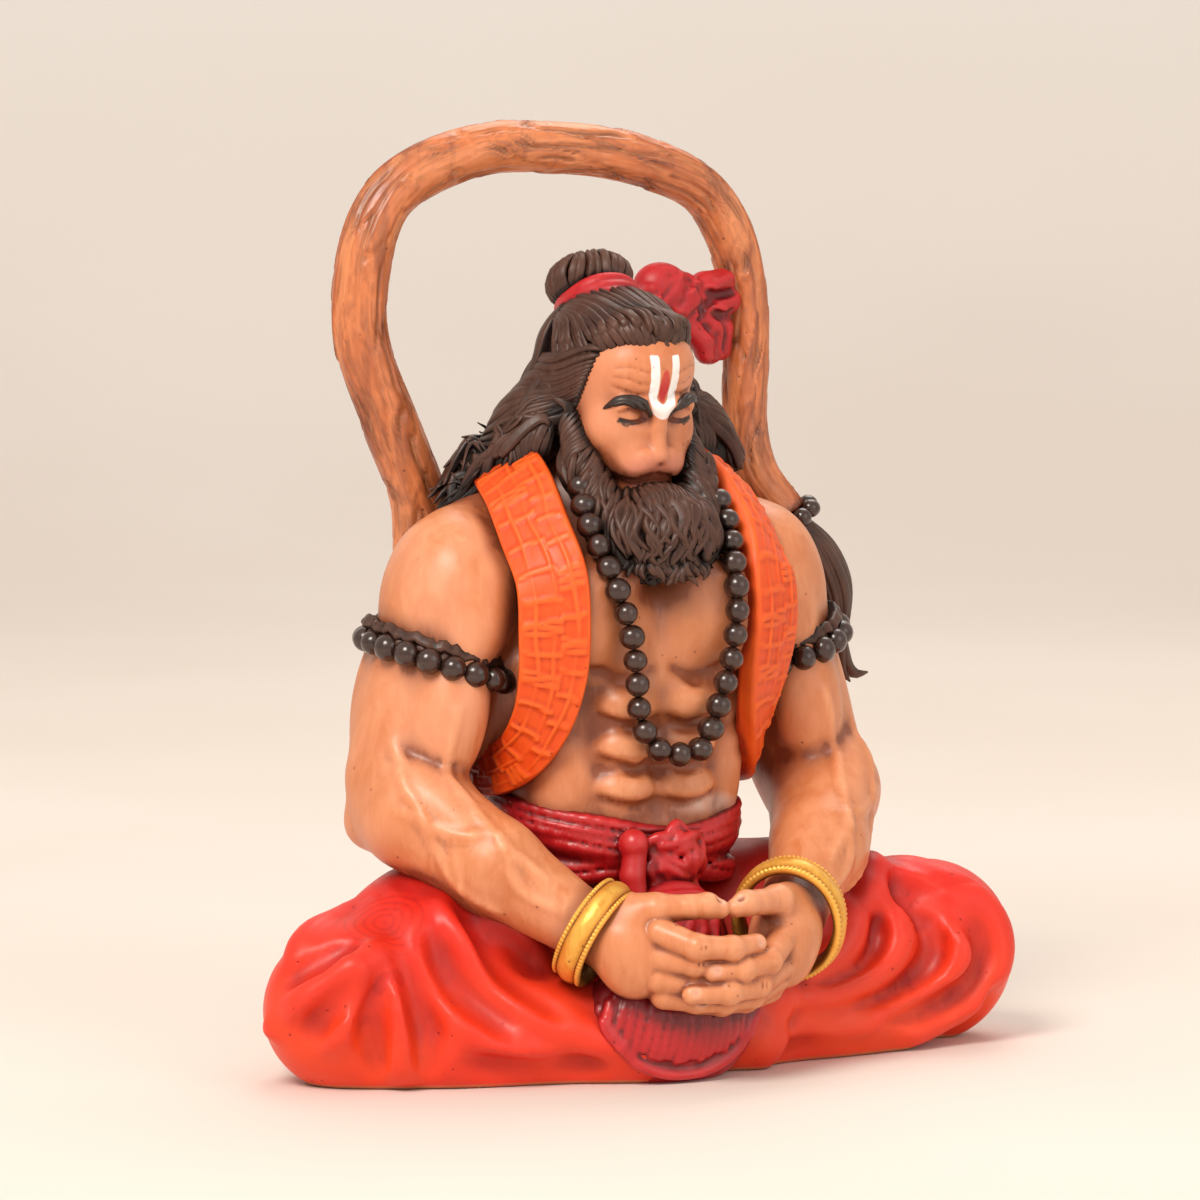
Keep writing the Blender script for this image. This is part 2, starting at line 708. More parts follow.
def face_paint(n, colour):
    colour = skin_lights(n, colour)
    edge = n.times(n.worn.outputs["Stroke"], 0.12)

    def inside(mark, soft=0.12):
        return n.span(n.math("SUBTRACT", n.mark(mark), edge), soft, -soft)

    colour = n.tint(n.span(n.mark("muzzle"), 1.2, -1.2), 0.7, colour, rgb(206, 124, 104))
    colour = n.mix(inside("mark_white"), colour, rgb(244, 242, 240))
    colour = n.mix(inside("mark_red"), colour, rgb(190, 32, 34))
    colour = n.mix(inside("lash"), colour, rgb(28, 18, 15))
    return n.tint(inside("lip", 0.2), 0.85, colour, rgb(96, 44, 34))


# Where layered modelling left fine rings in the cloth, in metres: each has its middle and its reach
RING_WAVES = 3200  # the rings' waves, in radians per metre
KNEE_RINGS = (((-0.062, -0.019, 0.0335), 0.0115), ((-0.066, -0.026, 0.0225), 0.006))


def orange_glow(n, colour):
    """The cloth is more orange low down."""
    place = n.place()
    height = n.height(place)
    low = n.span(height, 0.040, 0.008)
    low = n.times(low, n.span(n.noise(place, 30, 2, 0.5), 0.35, 0.6, 0.35, 1.0))
    colour = n.tint(low, 0.75, colour, rgb(242, 78, 32))
    for centre, reach in KNEE_RINGS:
        far = n.new("VectorMath", operation="DISTANCE")
        n.feed(far.inputs[0], place)
        far.inputs[1].default_value = centre
        wave = n.math("SINE", n.times(far.outputs["Value"], RING_WAVES))
        inside = n.span(far.outputs["Value"], reach, reach * 0.75)
        ring = n.times(n.span(wave, 0.2, 0.8), inside)
        colour = n.tint(ring, 0.4, colour, rgb(176, 16, 16))
    foot = n.span(height, 0.0011, 0.0006)
    return n.tint(foot, 0.8, colour, rgb(188, 140, 90))


def hair_tones(n, colour):
    place = n.place()
    red = n.noise(place, 120, 2, 0.5)
    return n.tint(n.span(red, 0.5, 0.66), 0.5, colour, rgb(78, 42, 32))


def tail_tones(n, colour):
    place = n.place()
    colour = n.tint(n.span(n.noise(place, 45, 3, 0.6), 0.5, 0.66), 0.55, colour, rgb(150, 74, 40))
    colour = n.mix(n.span(n.mark("flake"), 0.1, 0.7, 0, 0.5), colour, rgb(166, 84, 46))
    colour = n.mix(n.span(n.mark("flake"), -0.1, -0.7, 0, 0.45), colour, rgb(226, 146, 94))
    streak = n.noise(place, 120, 4, 0.62, stretch=(1, 1, 0.22), warp=0.5)
    colour = n.mix(n.span(streak, 0.54, 0.68, 0, 0.75), colour, rgb(118, 54, 30))
    return n.mix(n.span(n.mark("bark"), -0.15, -0.75, 0, 0.9), colour, rgb(84, 38, 22))


def shawl_tones(n, colour):
    return n.tint(n.span(n.mark("cord"), 0.1, 0.5), 0.45, colour, rgb(242, 108, 38))


SKIN = painted("painted_skin", rgb(200, 118, 70), rgb(228, 156, 112), rgb(120, 54, 28), rough=0.42, skin=0.04,
               extra=belly_light, strokes=300, vary=0.75, wash=1.05, dry=0.9, bump=0.45, coat=0.1)
FACE = painted("painted_face", rgb(196, 112, 68), rgb(222, 148, 104), rgb(118, 52, 28), rough=0.44, skin=0.04,
               extra=face_paint, strokes=420, vary=0.5, wash=0.9, dry=0.6, bump=0.25, coat=0.06)
HAIR = painted("painted_hair", rgb(50, 27, 20), rgb(96, 64, 50), rgb(10, 4, 3), rough=0.42, gloss=0.1,
               wash=2.2, shine=0.35, dry=0.6, strokes=500, vary=0.2, extra=hair_tones, bump=0.3)
BROW = painted("painted_brow", rgb(36, 24, 21), rgb(64, 50, 44), rgb(14, 8, 7), rough=0.4, strokes=600,
               dry=0.4)
TAIL = painted("painted_tail", rgb(200, 108, 58), rgb(224, 146, 96), rgb(84, 36, 18), rough=0.4, wash=1.0,
               dry=0.7, strokes=240, extra=tail_tones, vary=0.5, bump=0.35, coat=0.12)
RED = painted("painted_red_cloth", rgb(206, 18, 13), rgb(228, 54, 34), rgb(140, 8, 10), rough=0.44,
              extra=orange_glow, strokes=150, along=(1, 1, 0.7), vary=0.5, wash=0.5, dry=0.6, bump=0.5,
              coat=0.05, speck=0.75, shine=0.38)
SASH = painted("painted_sash", rgb(176, 18, 24), rgb(206, 46, 46), rgb(92, 6, 12), rough=0.38, strokes=300,
               vary=0.35, wash=1.1, dry=0.6, coat=0.1)
RIBBON = painted("painted_ribbon", rgb(172, 12, 22), rgb(200, 40, 42), rgb(84, 4, 10), rough=0.42,
                 strokes=300, vary=0.4, wash=1.3, dry=0.6)
ORANGE = painted("painted_shawl", rgb(222, 68, 8), rgb(240, 104, 34), rgb(140, 26, 6), rough=0.46,
                 extra=shawl_tones, strokes=300, vary=0.5, wash=1.1, dry=0.6, bump=0.4, shine=0.4)
BEADS = painted("painted_beads", rgb(30, 17, 13), rgb(74, 44, 33), rgb(8, 4, 3), rough=0.22, gloss=0.08,
                strokes=500, vary=0.4, dry=0.3, bump=0.1, coat=0.4, speck=0.2)
GOLD = painted("painted_gold", rgb(208, 128, 30), rgb(242, 186, 84), rgb(104, 50, 10), rough=0.38, gloss=0.1,
               strokes=600, vary=0.6, metallic=0.45, bump=0.35, wash=1.1)

# Shared places

HEAD = (0.3, -7.3, 146)
HEAD_TURN = (18, 0, 4)
SIDES = (-1, 1)


def wrist(s):
    return np.array([s * 24.5, -38, 35])


def knee(s):
    return np.array([-64, -13, 19]) if s < 0 else np.array([70, -13, 21])


def sculpt_body():
    c = Clay((-66, -56, 30), (66, 28, 140), 1.0)
    c.blob((0, 4, 30), (26, 22, 24))
    c.blob((0, -1, 56), (25, 21, 20), 6)
    c.blob((0, -3, 86), (31, 23, 28), 8)
    c.blob((0, 2, 108), (33, 16, 16), 8)
    c.limb([(0, 4, 108), (0, -4, 134)], [13, 11], 6)
    for s in SIDES:
        c.blob((s * 28, 3, 86), (10, 15, 24), 5)
        c.limb([(s * 7, 7, 124), (s * 33, 3, 113)], [9, 8], 5)
        c.blob((s * 13.8, -20.0, 98), (14.2, 9.0, 13), 4, (0, 0, s * -12))
        c.blob((s * 16, 14, 102), (13, 7, 15), 4)
        c.muscle((s * 8, 15, 38), (s * 9, 17, 92), 7, 6, 4)
        c.blob((s * 17, -10.5, 64), (8, 11, 15), 7)
        # The ribs' muscles step down towards the waist.
        for i in range(5):
            low = np.array([s * (20.5 - 1.6 * i), -21.5 + 0.7 * i, 82 - 6.2 * i])
            high = np.array([s * (27.5 - 0.9 * i), -11.5 + 0.7 * i, 87.5 - 6.2 * i])
            c.muscle(low, high, 3.1, 3.6, 2.4)
        for i, z in enumerate((79.5, 70.5, 61.5)):
            c.blob((s * 6.8, -22.0 + 0.7 * i, z), (7.6, 6.0, 5.2), 2.2, (0, 0, s * -8))
        c.blob((s * 7, -17.0, 53.5), (9, 7.2, 7.5), 4)
        c.muscle((s * 5, -26.2, 108), (s * 25, -19, 102), 5, 5.6, 4)
    c.blob((0, -16, 49), (13, 8, 8), 4)
    c.limb([(0, -30.6, 110), (0, -31.0, 90), (0.4, -29.0, 74), (0, -27.8, 62)], 0.75, 2.6, cut=True)
    c.blob((0, -28.2, 57.6), (1.5, 2.6, 1.2), 0.9, cut=True)
    for s in SIDES:
        c.limb(c.onto([(s * 2.5, -29.8, 87), (s * 8, -29.6, 85.4), (s * 15, -27.6, 85.6),
                       (s * 22, -24, 88.6)], 0.1), 0.8, 1.8, cut=True)
        for z, dip in ((75, 0.7), (66, 0.6), (57.4, 0.5)):
            line = smooth_line([(s * 1.0, -28, z + 0.6), (s * 5, -28, z - dip), (s * 10, -26, z + 0.6),
                                (s * 14, -23.5, z + 2.6)], 1.6)
            c.limb(c.onto(line, 0.15), 0.45, 1.7, cut=True)
        shoulder = np.array([s * 36, 0, 102])
        elbow = np.array([s * 49.5, -3, 58])
        c.blob(shoulder, (15, 16, 18), 2.6)
        c.muscle((s * 31, -11, 111), (s * 41.5, -11, 85), 7.6, 7.0, 2.4)
        c.limb([(s * 38.5, 0, 98), (s * 48.5, -1, 64)], [13, 12.5], 4)
        c.muscle((s * 38.5, -8.5, 97), (s * 46, -11.5, 62), 8.6, 8.0, 2.0)
        c.muscle((s * 42, 8, 100), (s * 51.5, 6, 60), 9, 8.5, 2)
        c.muscle((s * 49, 1, 92), (s * 55.5, 0, 62), 5, 8, 2.4)
        c.limb([elbow, (s * 49, -9, 57)], [11, 11.5], 3)
        c.blob((s * 54, 3, 54.5), (6, 6, 6), 3)
        c.limb([(s * 49, -8, 57), (s * 39, -24, 47), wrist(s)], [12, 10, 7], 3)
        c.muscle((s * 55.5, -4, 68), (s * 37, -28, 46), 6.6, 8.6, 2.4)
        c.muscle((s * 49, -2, 50), (s * 33, -27, 38), 7, 7, 2.5)
        c.limb([(s * 48, -20, 57), (s * 40, -30, 48), (s * 30, -38.5, 40.5)], [2.6, 2.2, 1.6], 3)
        c.limb([wrist(s), (s * 20, -44, 33)], [7, 7.2], 2)
    # Veins over the forearms and biceps.
    for s in SIDES:
        for route in ([(44, -18, 80), (46.5, -19, 70), (45.5, -21, 61), (41, -29, 52), (34, -36, 45)],
                      [(54, -14, 58), (48.5, -22, 54.5), (43, -27, 52.5)],
                      [(41, -29, 52), (38, -33, 44), (31, -39, 39)],
                      [(54, -8, 72), (53, -14, 62), (47, -21, 50), (38, -30, 41)]):
            line = c.onto(smooth_line([(s * x, y, z) for x, y, z in route], 2.0), -0.3)
            c.limb(line, 0.5, 1.6)
    return c


def sculpt_hands():
    c = Clay((-34, -66, 12), (34, -34, 48), 0.52)
    r = FINGER / 2
    for s in SIDES:
        c.limb([wrist(s), (s * 20, -44, 33)], [7, 7.2], 2)
        c.blob((s * 17.5, -46.5, 30), (8.5, 7, 9.5), 3, (0, 0, s * 30))
        c.limb([(s * 21, -43, 38), (s * 14.5, -49.5, 39.5)], [4.6, 3.6], 2)
        c.limb([(s * 14.5, -49.5, 39.5), (s * 8.4, -52.6, 40)], [3.3, 2.6], 1)
        c.limb([(s * 8.4, -52.6, 40), (s * 4.6, -53.8, 40.2), (s * 1.9, -54.2, 39.4)], [2.6, 2.75, 2.1], 0.6)
    right = ([(-15, -52, 35), (-9.6, -58.6, 32.4), (-2, -59.6, 31.8), (5, -57.6, 32.2)],
             [(-16, -51.5, 30), (-9, -56.5, 28.6), (-2, -56.6, 27.8), (4, -54.6, 27.8)],
             [(-15, -51.5, 25.5), (-8, -54.8, 24.6), (-1, -54.6, 23.8), (5, -52.4, 23.8)],
             [(-13, -50.5, 21.8), (-7, -52.8, 20.6), (-1, -52, 20), (4, -50, 20)])
    left = ([(17, -49.5, 33.4), (8.4, -56.8, 28.2), (1, -59, 27.2), (-6, -58.4, 27)],
            [(16.5, -49.5, 27), (6, -56.6, 23.4), (-2, -58.6, 22.6), (-10, -57, 22.4)],
            [(15, -48.5, 23.5), (6, -53.8, 20.8), (-1, -55, 20.2), (-7, -54, 20)],
            [(13.5, -47.5, 21), (6, -51, 19.6), (0, -51.6, 19.2), (-5, -50.6, 19)])
    tips = []
    for fingers in (right, left):
        hand = Clay((-34, -66, 12), (34, -34, 48), 0.52)
        for route in fingers:
            hand.limb(route, [r * 1.3, r * 1.1, r, r * 0.86], 0.8)
            for joint in route[1:3]:
                hand.blob(joint, (r * 1.12, r * 1.08, r * 1.12), 0.8)
            tips.append((np.array(route[-1]), np.array(route[-1]) - np.array(route[-2])))
        c.field = soft_least(c.field, hand.field, 0.45)
    # Nails: shallow plates let into the fingers' ends.
    for s in SIDES:
        tips.append((np.array([s * 1.9, -54.2, 39.4]), np.array([-s * 3, -0.8, -0.6])))
    nails = []
    for tip, way in tips:
        way = way / np.linalg.norm(way)
        out = np.array([0, -0.96, 0.28]) if tip[2] < 36 else np.array([0, -0.5, 0.86])
        out = out - way * (out @ way)
        out /= np.linalg.norm(out)
        middle = tip + out * (r * 0.86) - way * 0.2
        c.blob(middle + out * 0.8, (1.5, 1.1, 1.3), 0.15, cut=True)
        nails.append(middle - out * 0.1)
    # Creases over the knuckles.
    for route in right[:2] + left[:2]:
        for joint in route[1:3]:
            joint = np.array(joint, float)
            for shift in (-0.5, 0.5):
                spot = joint + np.array([shift, -r * 1.1, 0.2])
                c.limb([spot + (0, 0.3, 1.1), spot, spot + (0, 0.3, -1.1)], 0.16, 0.3, cut=True)
    return c, np.array(nails)


# The head follows a drawing manual's shares of its own height and width, with a monkey's muzzle.
HEAD_TOP = 17.5
CHIN = -21.0
HEAD_HEIGHT = HEAD_TOP - CHIN
EYE_LINE = CHIN + HEAD_HEIGHT / 2
HAIR_LINE = HEAD_TOP - HEAD_HEIGHT / 6
THIRD = (HAIR_LINE - CHIN) / 3
BROW_LINE = HAIR_LINE - THIRD
NOSE_LINE = CHIN + THIRD
MOUTH_LINE = NOSE_LINE - THIRD / 3
FACE_WIDTH = 28.0
EYE_WIDTH = FACE_WIDTH / 5
EYE_AT = EYE_WIDTH


def sculpt_head():
    c = Clay((-18, -34, 116), (18, 14, 168), 0.47, halo=1.0)
    h = c.local(HEAD, HEAD_TURN)
    h.blob((0, 1.5, 2.5), (14, 15.8, 15))
    h.blob((0, -7.5, 7), (10.5, 8, 8), 4)
    h.blob((0, -5, -7), (11.6, 11.5, 12), 4)
    h.limb([(-8, -13, BROW_LINE), (-4, -14.8, BROW_LINE - 0.6), (0, -14.9, BROW_LINE - 1),
            (4, -14.8, BROW_LINE - 0.6), (8, -13, BROW_LINE)], [1.8, 2.1, 1.9, 2.1, 1.8], 2)
    h.limb([(0, -14.2, BROW_LINE - 0.8), (0, -15.8, EYE_LINE - 1.5), (0, -17.6, NOSE_LINE + 1.6)],
           [1.5, 1.5, 1.9], 1.6)
    h.blob((0, -17.9, NOSE_LINE + 1.2), (2.0, 1.9, 1.6), 0.8)
    for s in SIDES:
        h.blob((s * EYE_AT, -16.4, EYE_LINE + 0.4), (3.6, 3.2, 2.6), 1.5, cut=True)
        h.blob((s * EYE_AT, -11.6, EYE_LINE), (EYE_WIDTH * 0.62, 3.1, 2.7), 0.6)
        h.blob((s * 7.4, -9.4, EYE_LINE - 5.4), (4.6, 4.9, 5.6), 4.5)
        h.blob((s * 2.2, -16.6, NOSE_LINE + 0.9), (1.5, 1.9, 1.3), 0.6)
        h.blob((s * 1.3, -18.3, NOSE_LINE + 0.0), (0.6, 0.9, 0.45), 0.3, cut=True)
        h.blob((s * 3.4, -13.9, MOUTH_LINE + 1.9), (5.0, 5.3, 4.1), 3.2)
        # The closed lids meet in a fine line, with a fold above.
        lid = [(s * (EYE_AT + EYE_WIDTH * f), -14.4 + 2.4 * f * f * 2, EYE_LINE - 0.9 + 1.9 * f * f)
               for f in (-0.5, -0.25, 0, 0.25, 0.5)]
        c.limb(c.onto(h.all_at(lid)), 0.28, 0.35, cut=True)
        fold = [(s * (EYE_AT + EYE_WIDTH * f), -14.2 + 2.2 * f * f * 2, EYE_LINE + 2.2 - 2.0 * f * f)
                for f in (-0.45, -0.2, 0.05, 0.3, 0.5)]
        c.limb(c.onto(h.all_at(fold)), 0.22, 0.4, cut=True)
    h.blob((0, -13.2, MOUTH_LINE - 3.4), (5.8, 5.6, 3.4), 1.0)
    mouth = [(-7.6, -13.6, MOUTH_LINE - 1.3), (-5.4, -16.4, MOUTH_LINE - 0.4),
             (-2.6, -18.6, MOUTH_LINE + 0.1), (0, -19.2, MOUTH_LINE + 0.3), (2.6, -18.6, MOUTH_LINE + 0.1),
             (5.4, -16.4, MOUTH_LINE - 0.4), (7.6, -13.6, MOUTH_LINE - 1.3)]
    c.limb(c.onto(h.all_at(mouth)), 0.42, 0.7, cut=True)
    h.limb([(0, -20.1, MOUTH_LINE + 1.4), (0, -19.6, NOSE_LINE - 0.6)], 0.4, 1.0, cut=True)
    # Three calm lines across the forehead.
    for i in range(3):
        z = BROW_LINE + 3.4 + 2.3 * i
        for s in SIDES:
            line = [(s * x, -15 + 0.05 * x * x, z + 0.5 * math.sin(x * 0.9 + i)) for x in (3, 5, 7, 9.4)]
            c.limb(c.onto(h.all_at(line)), 0.2, 0.5, cut=True)
    return c, h, mouth


def sculpt_hair():
    """The mass under the locks."""
    c = Clay((-48, -30, 86), (48, 36, 180), 1.15, halo=6.0)
    h = c.local(HEAD, HEAD_TURN)
    h.blob((0, 4, 3.2), (14.9, 15.9, 15.1))
    h.limb([(-8.5, -5.6, 13.0), (-4, -7.4, 14.6), (1, -8.2, 14.8), (7.5, -6.0, 13.6)],
           [2.4, 3.0, 3.3, 2.4], 2.5)
    c.limb([(13.0, 0, 144), (22, 0.5, 137), (30, -0.5, 129)], [3.2, 4.2, 2.8], 3)
    c.blob((0, 11, 134), (15.0, 10, 19), 3)
    c.blob((0, 17.5, 115), (23, 8, 19), 5)
    c.limb([(0, 1, 159), (0, 6, 165)], [7, 5.5], 1)
    for s in SIDES:
        c.limb([(s * 13.2, -1, 146), (s * 17.5, 3.5, 138), (s * 25, 8, 127), (s * 32.5, 9.5, 119.5)],
               [3.4, 4.8, 4.8, 2.8], 3)
        c.limb([(s * 13.5, -1, 145), (s * 17, -1.5, 134), (s * 22.5, -1, 128.5)], [3.0, 4.2, 3.2], 3)
    return c


def lock_line(clay, start, end, belly, wave, phase, lift, n=12, sway=(1, 0, 0), curl=1.2):
    """A wavy line from start to end that lies on a mass of hair."""
    start, end, belly, sway = (np.array(v, float) for v in (start, end, belly, sway))
    t = np.linspace(0, 1, n)[:, None]
    line = start + (end - start) * t + belly * (4 * t * (1 - t))
    line = line + sway * (np.sin(phase + t * 2 * math.pi * curl) * wave * (0.3 + 0.7 * t))
    if clay is None:
        return line
    line = clay.onto(line, lift, 8)
    for _ in range(3):
        line[1:-1] = (line[:-2] + 2 * line[1:-1] + line[2:]) / 4
    return line


def lock(line, thick, root, tip):
    """A line and its radii. They swell from the root's share of the thickness and taper to the tip's."""
    t = np.linspace(0, 1, len(line))
    swell = root + (1 - root) * np.sin(np.clip(t * 2.2, 0, 1) * math.pi / 2)
    return line, thick * swell * (1 - (1 - tip) * (np.maximum(t - 0.55, 0) / 0.45) ** 1.6)


def head_locks(mass):
    """Locks combed back from the hairline to the bun, and over the ears into the mane."""
    locks = []
    h = mass.local(HEAD, HEAD_TURN)
    bun = np.array([0, 3.3, 160.2])
    for layer, (count, lift, thick) in enumerate(((31, 0.15, 1.35), (24, 0.75, 1.15))):
        for i in range(count):
            f = i / (count - 1) * 2 - 1
            turn = math.radians(f * 96 + rng.uniform(-1.5, 1.5))
            # The hairline dips to the temples and stands forward in a rounded bulge over the brow.
            peak = math.exp(-((abs(turn) - 0.55) / 0.3) ** 2) - 1.9 * math.exp(-(turn / 0.26) ** 2)
            root = np.array([math.sin(turn) * 11.0, 0.6 - 11.9 * math.cos(turn) + 2.2 * layer,
                             12.4 - 8.8 * (1 - math.cos(turn)) + 2.6 * layer + peak])
            start = h.at(root + (math.sin(turn) * 2.6, -2.0 * math.cos(turn), 1.2))
            end = bun + (math.sin(turn) * 7.4, -3.8 * math.cos(turn) + 1.2, -1.8 * (1 - math.cos(turn)))
            line = lock_line(mass, start, end, (math.sin(turn) * 3 - 1.5, -2.5, 4.0), 1.7,
                             f * 2.4 + 0.5 * layer, lift, 18, (math.cos(turn), math.sin(turn), 0), 0.9)
            line = smooth_line([h.at(root), *line[1:]], 1.2)
            locks.append(lock(line, thick * rng.uniform(0.85, 1.2), 0.75, 0.7))
    # Behind the ears the hair is combed up to the bun from the nape.
    for layer in range(2):
        for i in range(34):
            f = (i + 0.5 * layer) / 34 * 2 - 1
            turn = math.pi + f * math.radians(106)
            start = (math.sin(turn) * 17, 5 - 15 * math.cos(turn), 140 + 5 * abs(f))
            end = bun + (math.sin(turn) * 7.6, -5.0 * math.cos(turn), 1.5)
            line = lock_line(mass, start, end, (math.sin(turn) * 5, -4 * math.cos(turn), 3), 1.1,
                             f * 2.2 + layer, 0.3 + 0.6 * layer, 18, (math.cos(turn), math.sin(turn), 0),
                             0.9)
            locks.append(lock(line, rng.uniform(1.4, 1.9), 0.6, 0.6))
    # Side locks leave the temple, cover the ear and fall into the mane.
    for s in SIDES:
        for i in range(13):
            f = i / 12
            start = h.at((s * (12.2 + 0.8 * math.sin(f * 3)), -7.8 + 4.5 * f, 9.8 - 12 * f))
            start = mass.onto([start], -0.8, 6)[0]
            end = (s * (16 + 11 * f), 11 - 3 * f, 146 - 19 * f)
            line = lock_line(mass, start, end, (s * 1.6, -1.0 * f, 1.2), 1.6, 1.5 + i * 0.16, 0.45, 18,
                             (0, 0.3, 1), 1.5)
            locks.append(lock(line, rng.uniform(1.7, 2.3), 0.4, 0.3))
    return locks


def mane_locks(mass):
    locks = []
    for s in SIDES:
        for layer in range(2):
            for i in range(24):
                f = i / 23
                g = rng.uniform(-1, 1)
                start = (s * (12.0 + 2.0 * g), -4 + 12 * f, 147 - 12 * f + 2 * g + 2 * layer)
                reach = 0.15 + 0.85 * ((i * 7) % 24) / 23
                end = (s * (16 + 20.5 * reach), 2 + 9 * f + g, 138 - 19.5 * reach + 1.5 * g)
                line = lock_line(mass, start, end, (s * 0.3, 0.5, -1.5), 2.4, 5 * reach + 2.4 * layer
                                 + 0.3 * g, 0.3 + 1.0 * layer, 20, (0.45, 0.3, 1), 1.7)
                # The tip curls up and outward.
                t = np.linspace(0, 1, 20)[:, None]
                tip = np.clip((t - 0.78) / 0.22, 0, 1) ** 1.6
                line = line + np.array([s * 1.2, -0.8, 1.9]) * tip
                locks.append(lock(line, rng.uniform(1.2, 1.9), 0.6, 0.12))
        # In front of the ear and down beside the beard.
        for i in range(18):
            f = i / 17
            start = (s * 12.4, -2 + 6 * f, 146 - 13 * f)
            end = (s * (17.5 + 10.5 * f), -7 + 8 * f, 126.5 + 1.5 * f)
            line = lock_line(mass, start, end, (s * 1.5, -1, 1), 1.3, i * 0.35, 0.4, 14, (0, 0.5, 0.7), 1.4)
            locks.append(lock(line, rng.uniform(1.2, 1.7), 0.6, 0.15))
    # A wavy fall stands out over the left shoulder.
    for i in range(16):
        f = i / 15
        start = (12.8, -4 + 5 * f, 146 - 4 * f)
        end = (33.5 + rng.uniform(-1, 1), -5 + 6 * f, 123.5 + 8.5 * ((i * 5) % 16) / 15)
        line = lock_line(mass, start, end, (1.5, -1, 2.0), 1.9, i * 0.2, 0.6, 18, (0.3, 0.2, 1), 1.8)
        locks.append(lock(line, rng.uniform(1.5, 2.0), 0.6, 0.12))
    for layer in range(2):
        for i in range(40):
            f = i / 39 * 2 - 1
            g = rng.uniform(-1, 1)
            start = (f * 14, 16 - 6 * f * f, 150 - 9 * layer + 2 * g)
            end = (f * (26 - 3 * layer) + g, 25 - 4 * f * f, 94 + 12 * abs(f) ** 1.5 + 4 * g + 9 * layer)
            line = lock_line(mass, start, end, (f * 3, 6, 0), 1.7, f * 5 + layer * 2 + 0.4 * g,
                             0.4 + 0.9 * layer, 22, (1, 0, 0), 2.2)
            locks.append(lock(line, rng.uniform(1.6, 2.2), 0.6, 0.12))
    return locks


def bun_locks():
    """The bun is a pleated cushion: locks run over a flattened ball and tuck in at its middle."""
    locks = []
    centre = np.array([0, 7.2, 167.6])
    tilt = turned(-30, 0, 0)
    swell = (1.0, 1.25, 1.4, 1.4, 1.3, 1.2, 1.05, 0.9, 0.7, 0.5, 0.3)
    for i in range(26):
        turn = i / 26 * 2 * math.pi + rng.uniform(-0.05, 0.05)
        points = []
        for k in range(11):
            f = k / 10
            high = math.radians(-66 + 154 * f)
            spin = turn + 0.5 * f + 0.05 * math.sin(f * 9 + i)
            p = np.array([8.6 * math.cos(high) * math.cos(spin), 8.0 * math.cos(high) * math.sin(spin),
                          5.4 * math.sin(high)])
            points.append(centre + tilt @ p)
        size = rng.uniform(0.85, 1.1)
        locks.append((np.array(points), [size * r for r in swell]))
    return locks


def sculpt_beard():
    c = Clay((-24, -46, 98), (24, 2, 148), 0.8, halo=6.0)
    c.blob((0, -17.5, 116.5), (12.0, 8.5, 8.2), 0)
    c.blob((0, -24.5, 114.6), (12.2, 7.6, 9.0), 6)
    for s in SIDES:
        c.limb([(s * 12.2, -8.5, 140), (s * 12.6, -14.0, 129), (s * 10.5, -19.5, 120.5)], [2.0, 3.4, 4.0], 3)
    return c


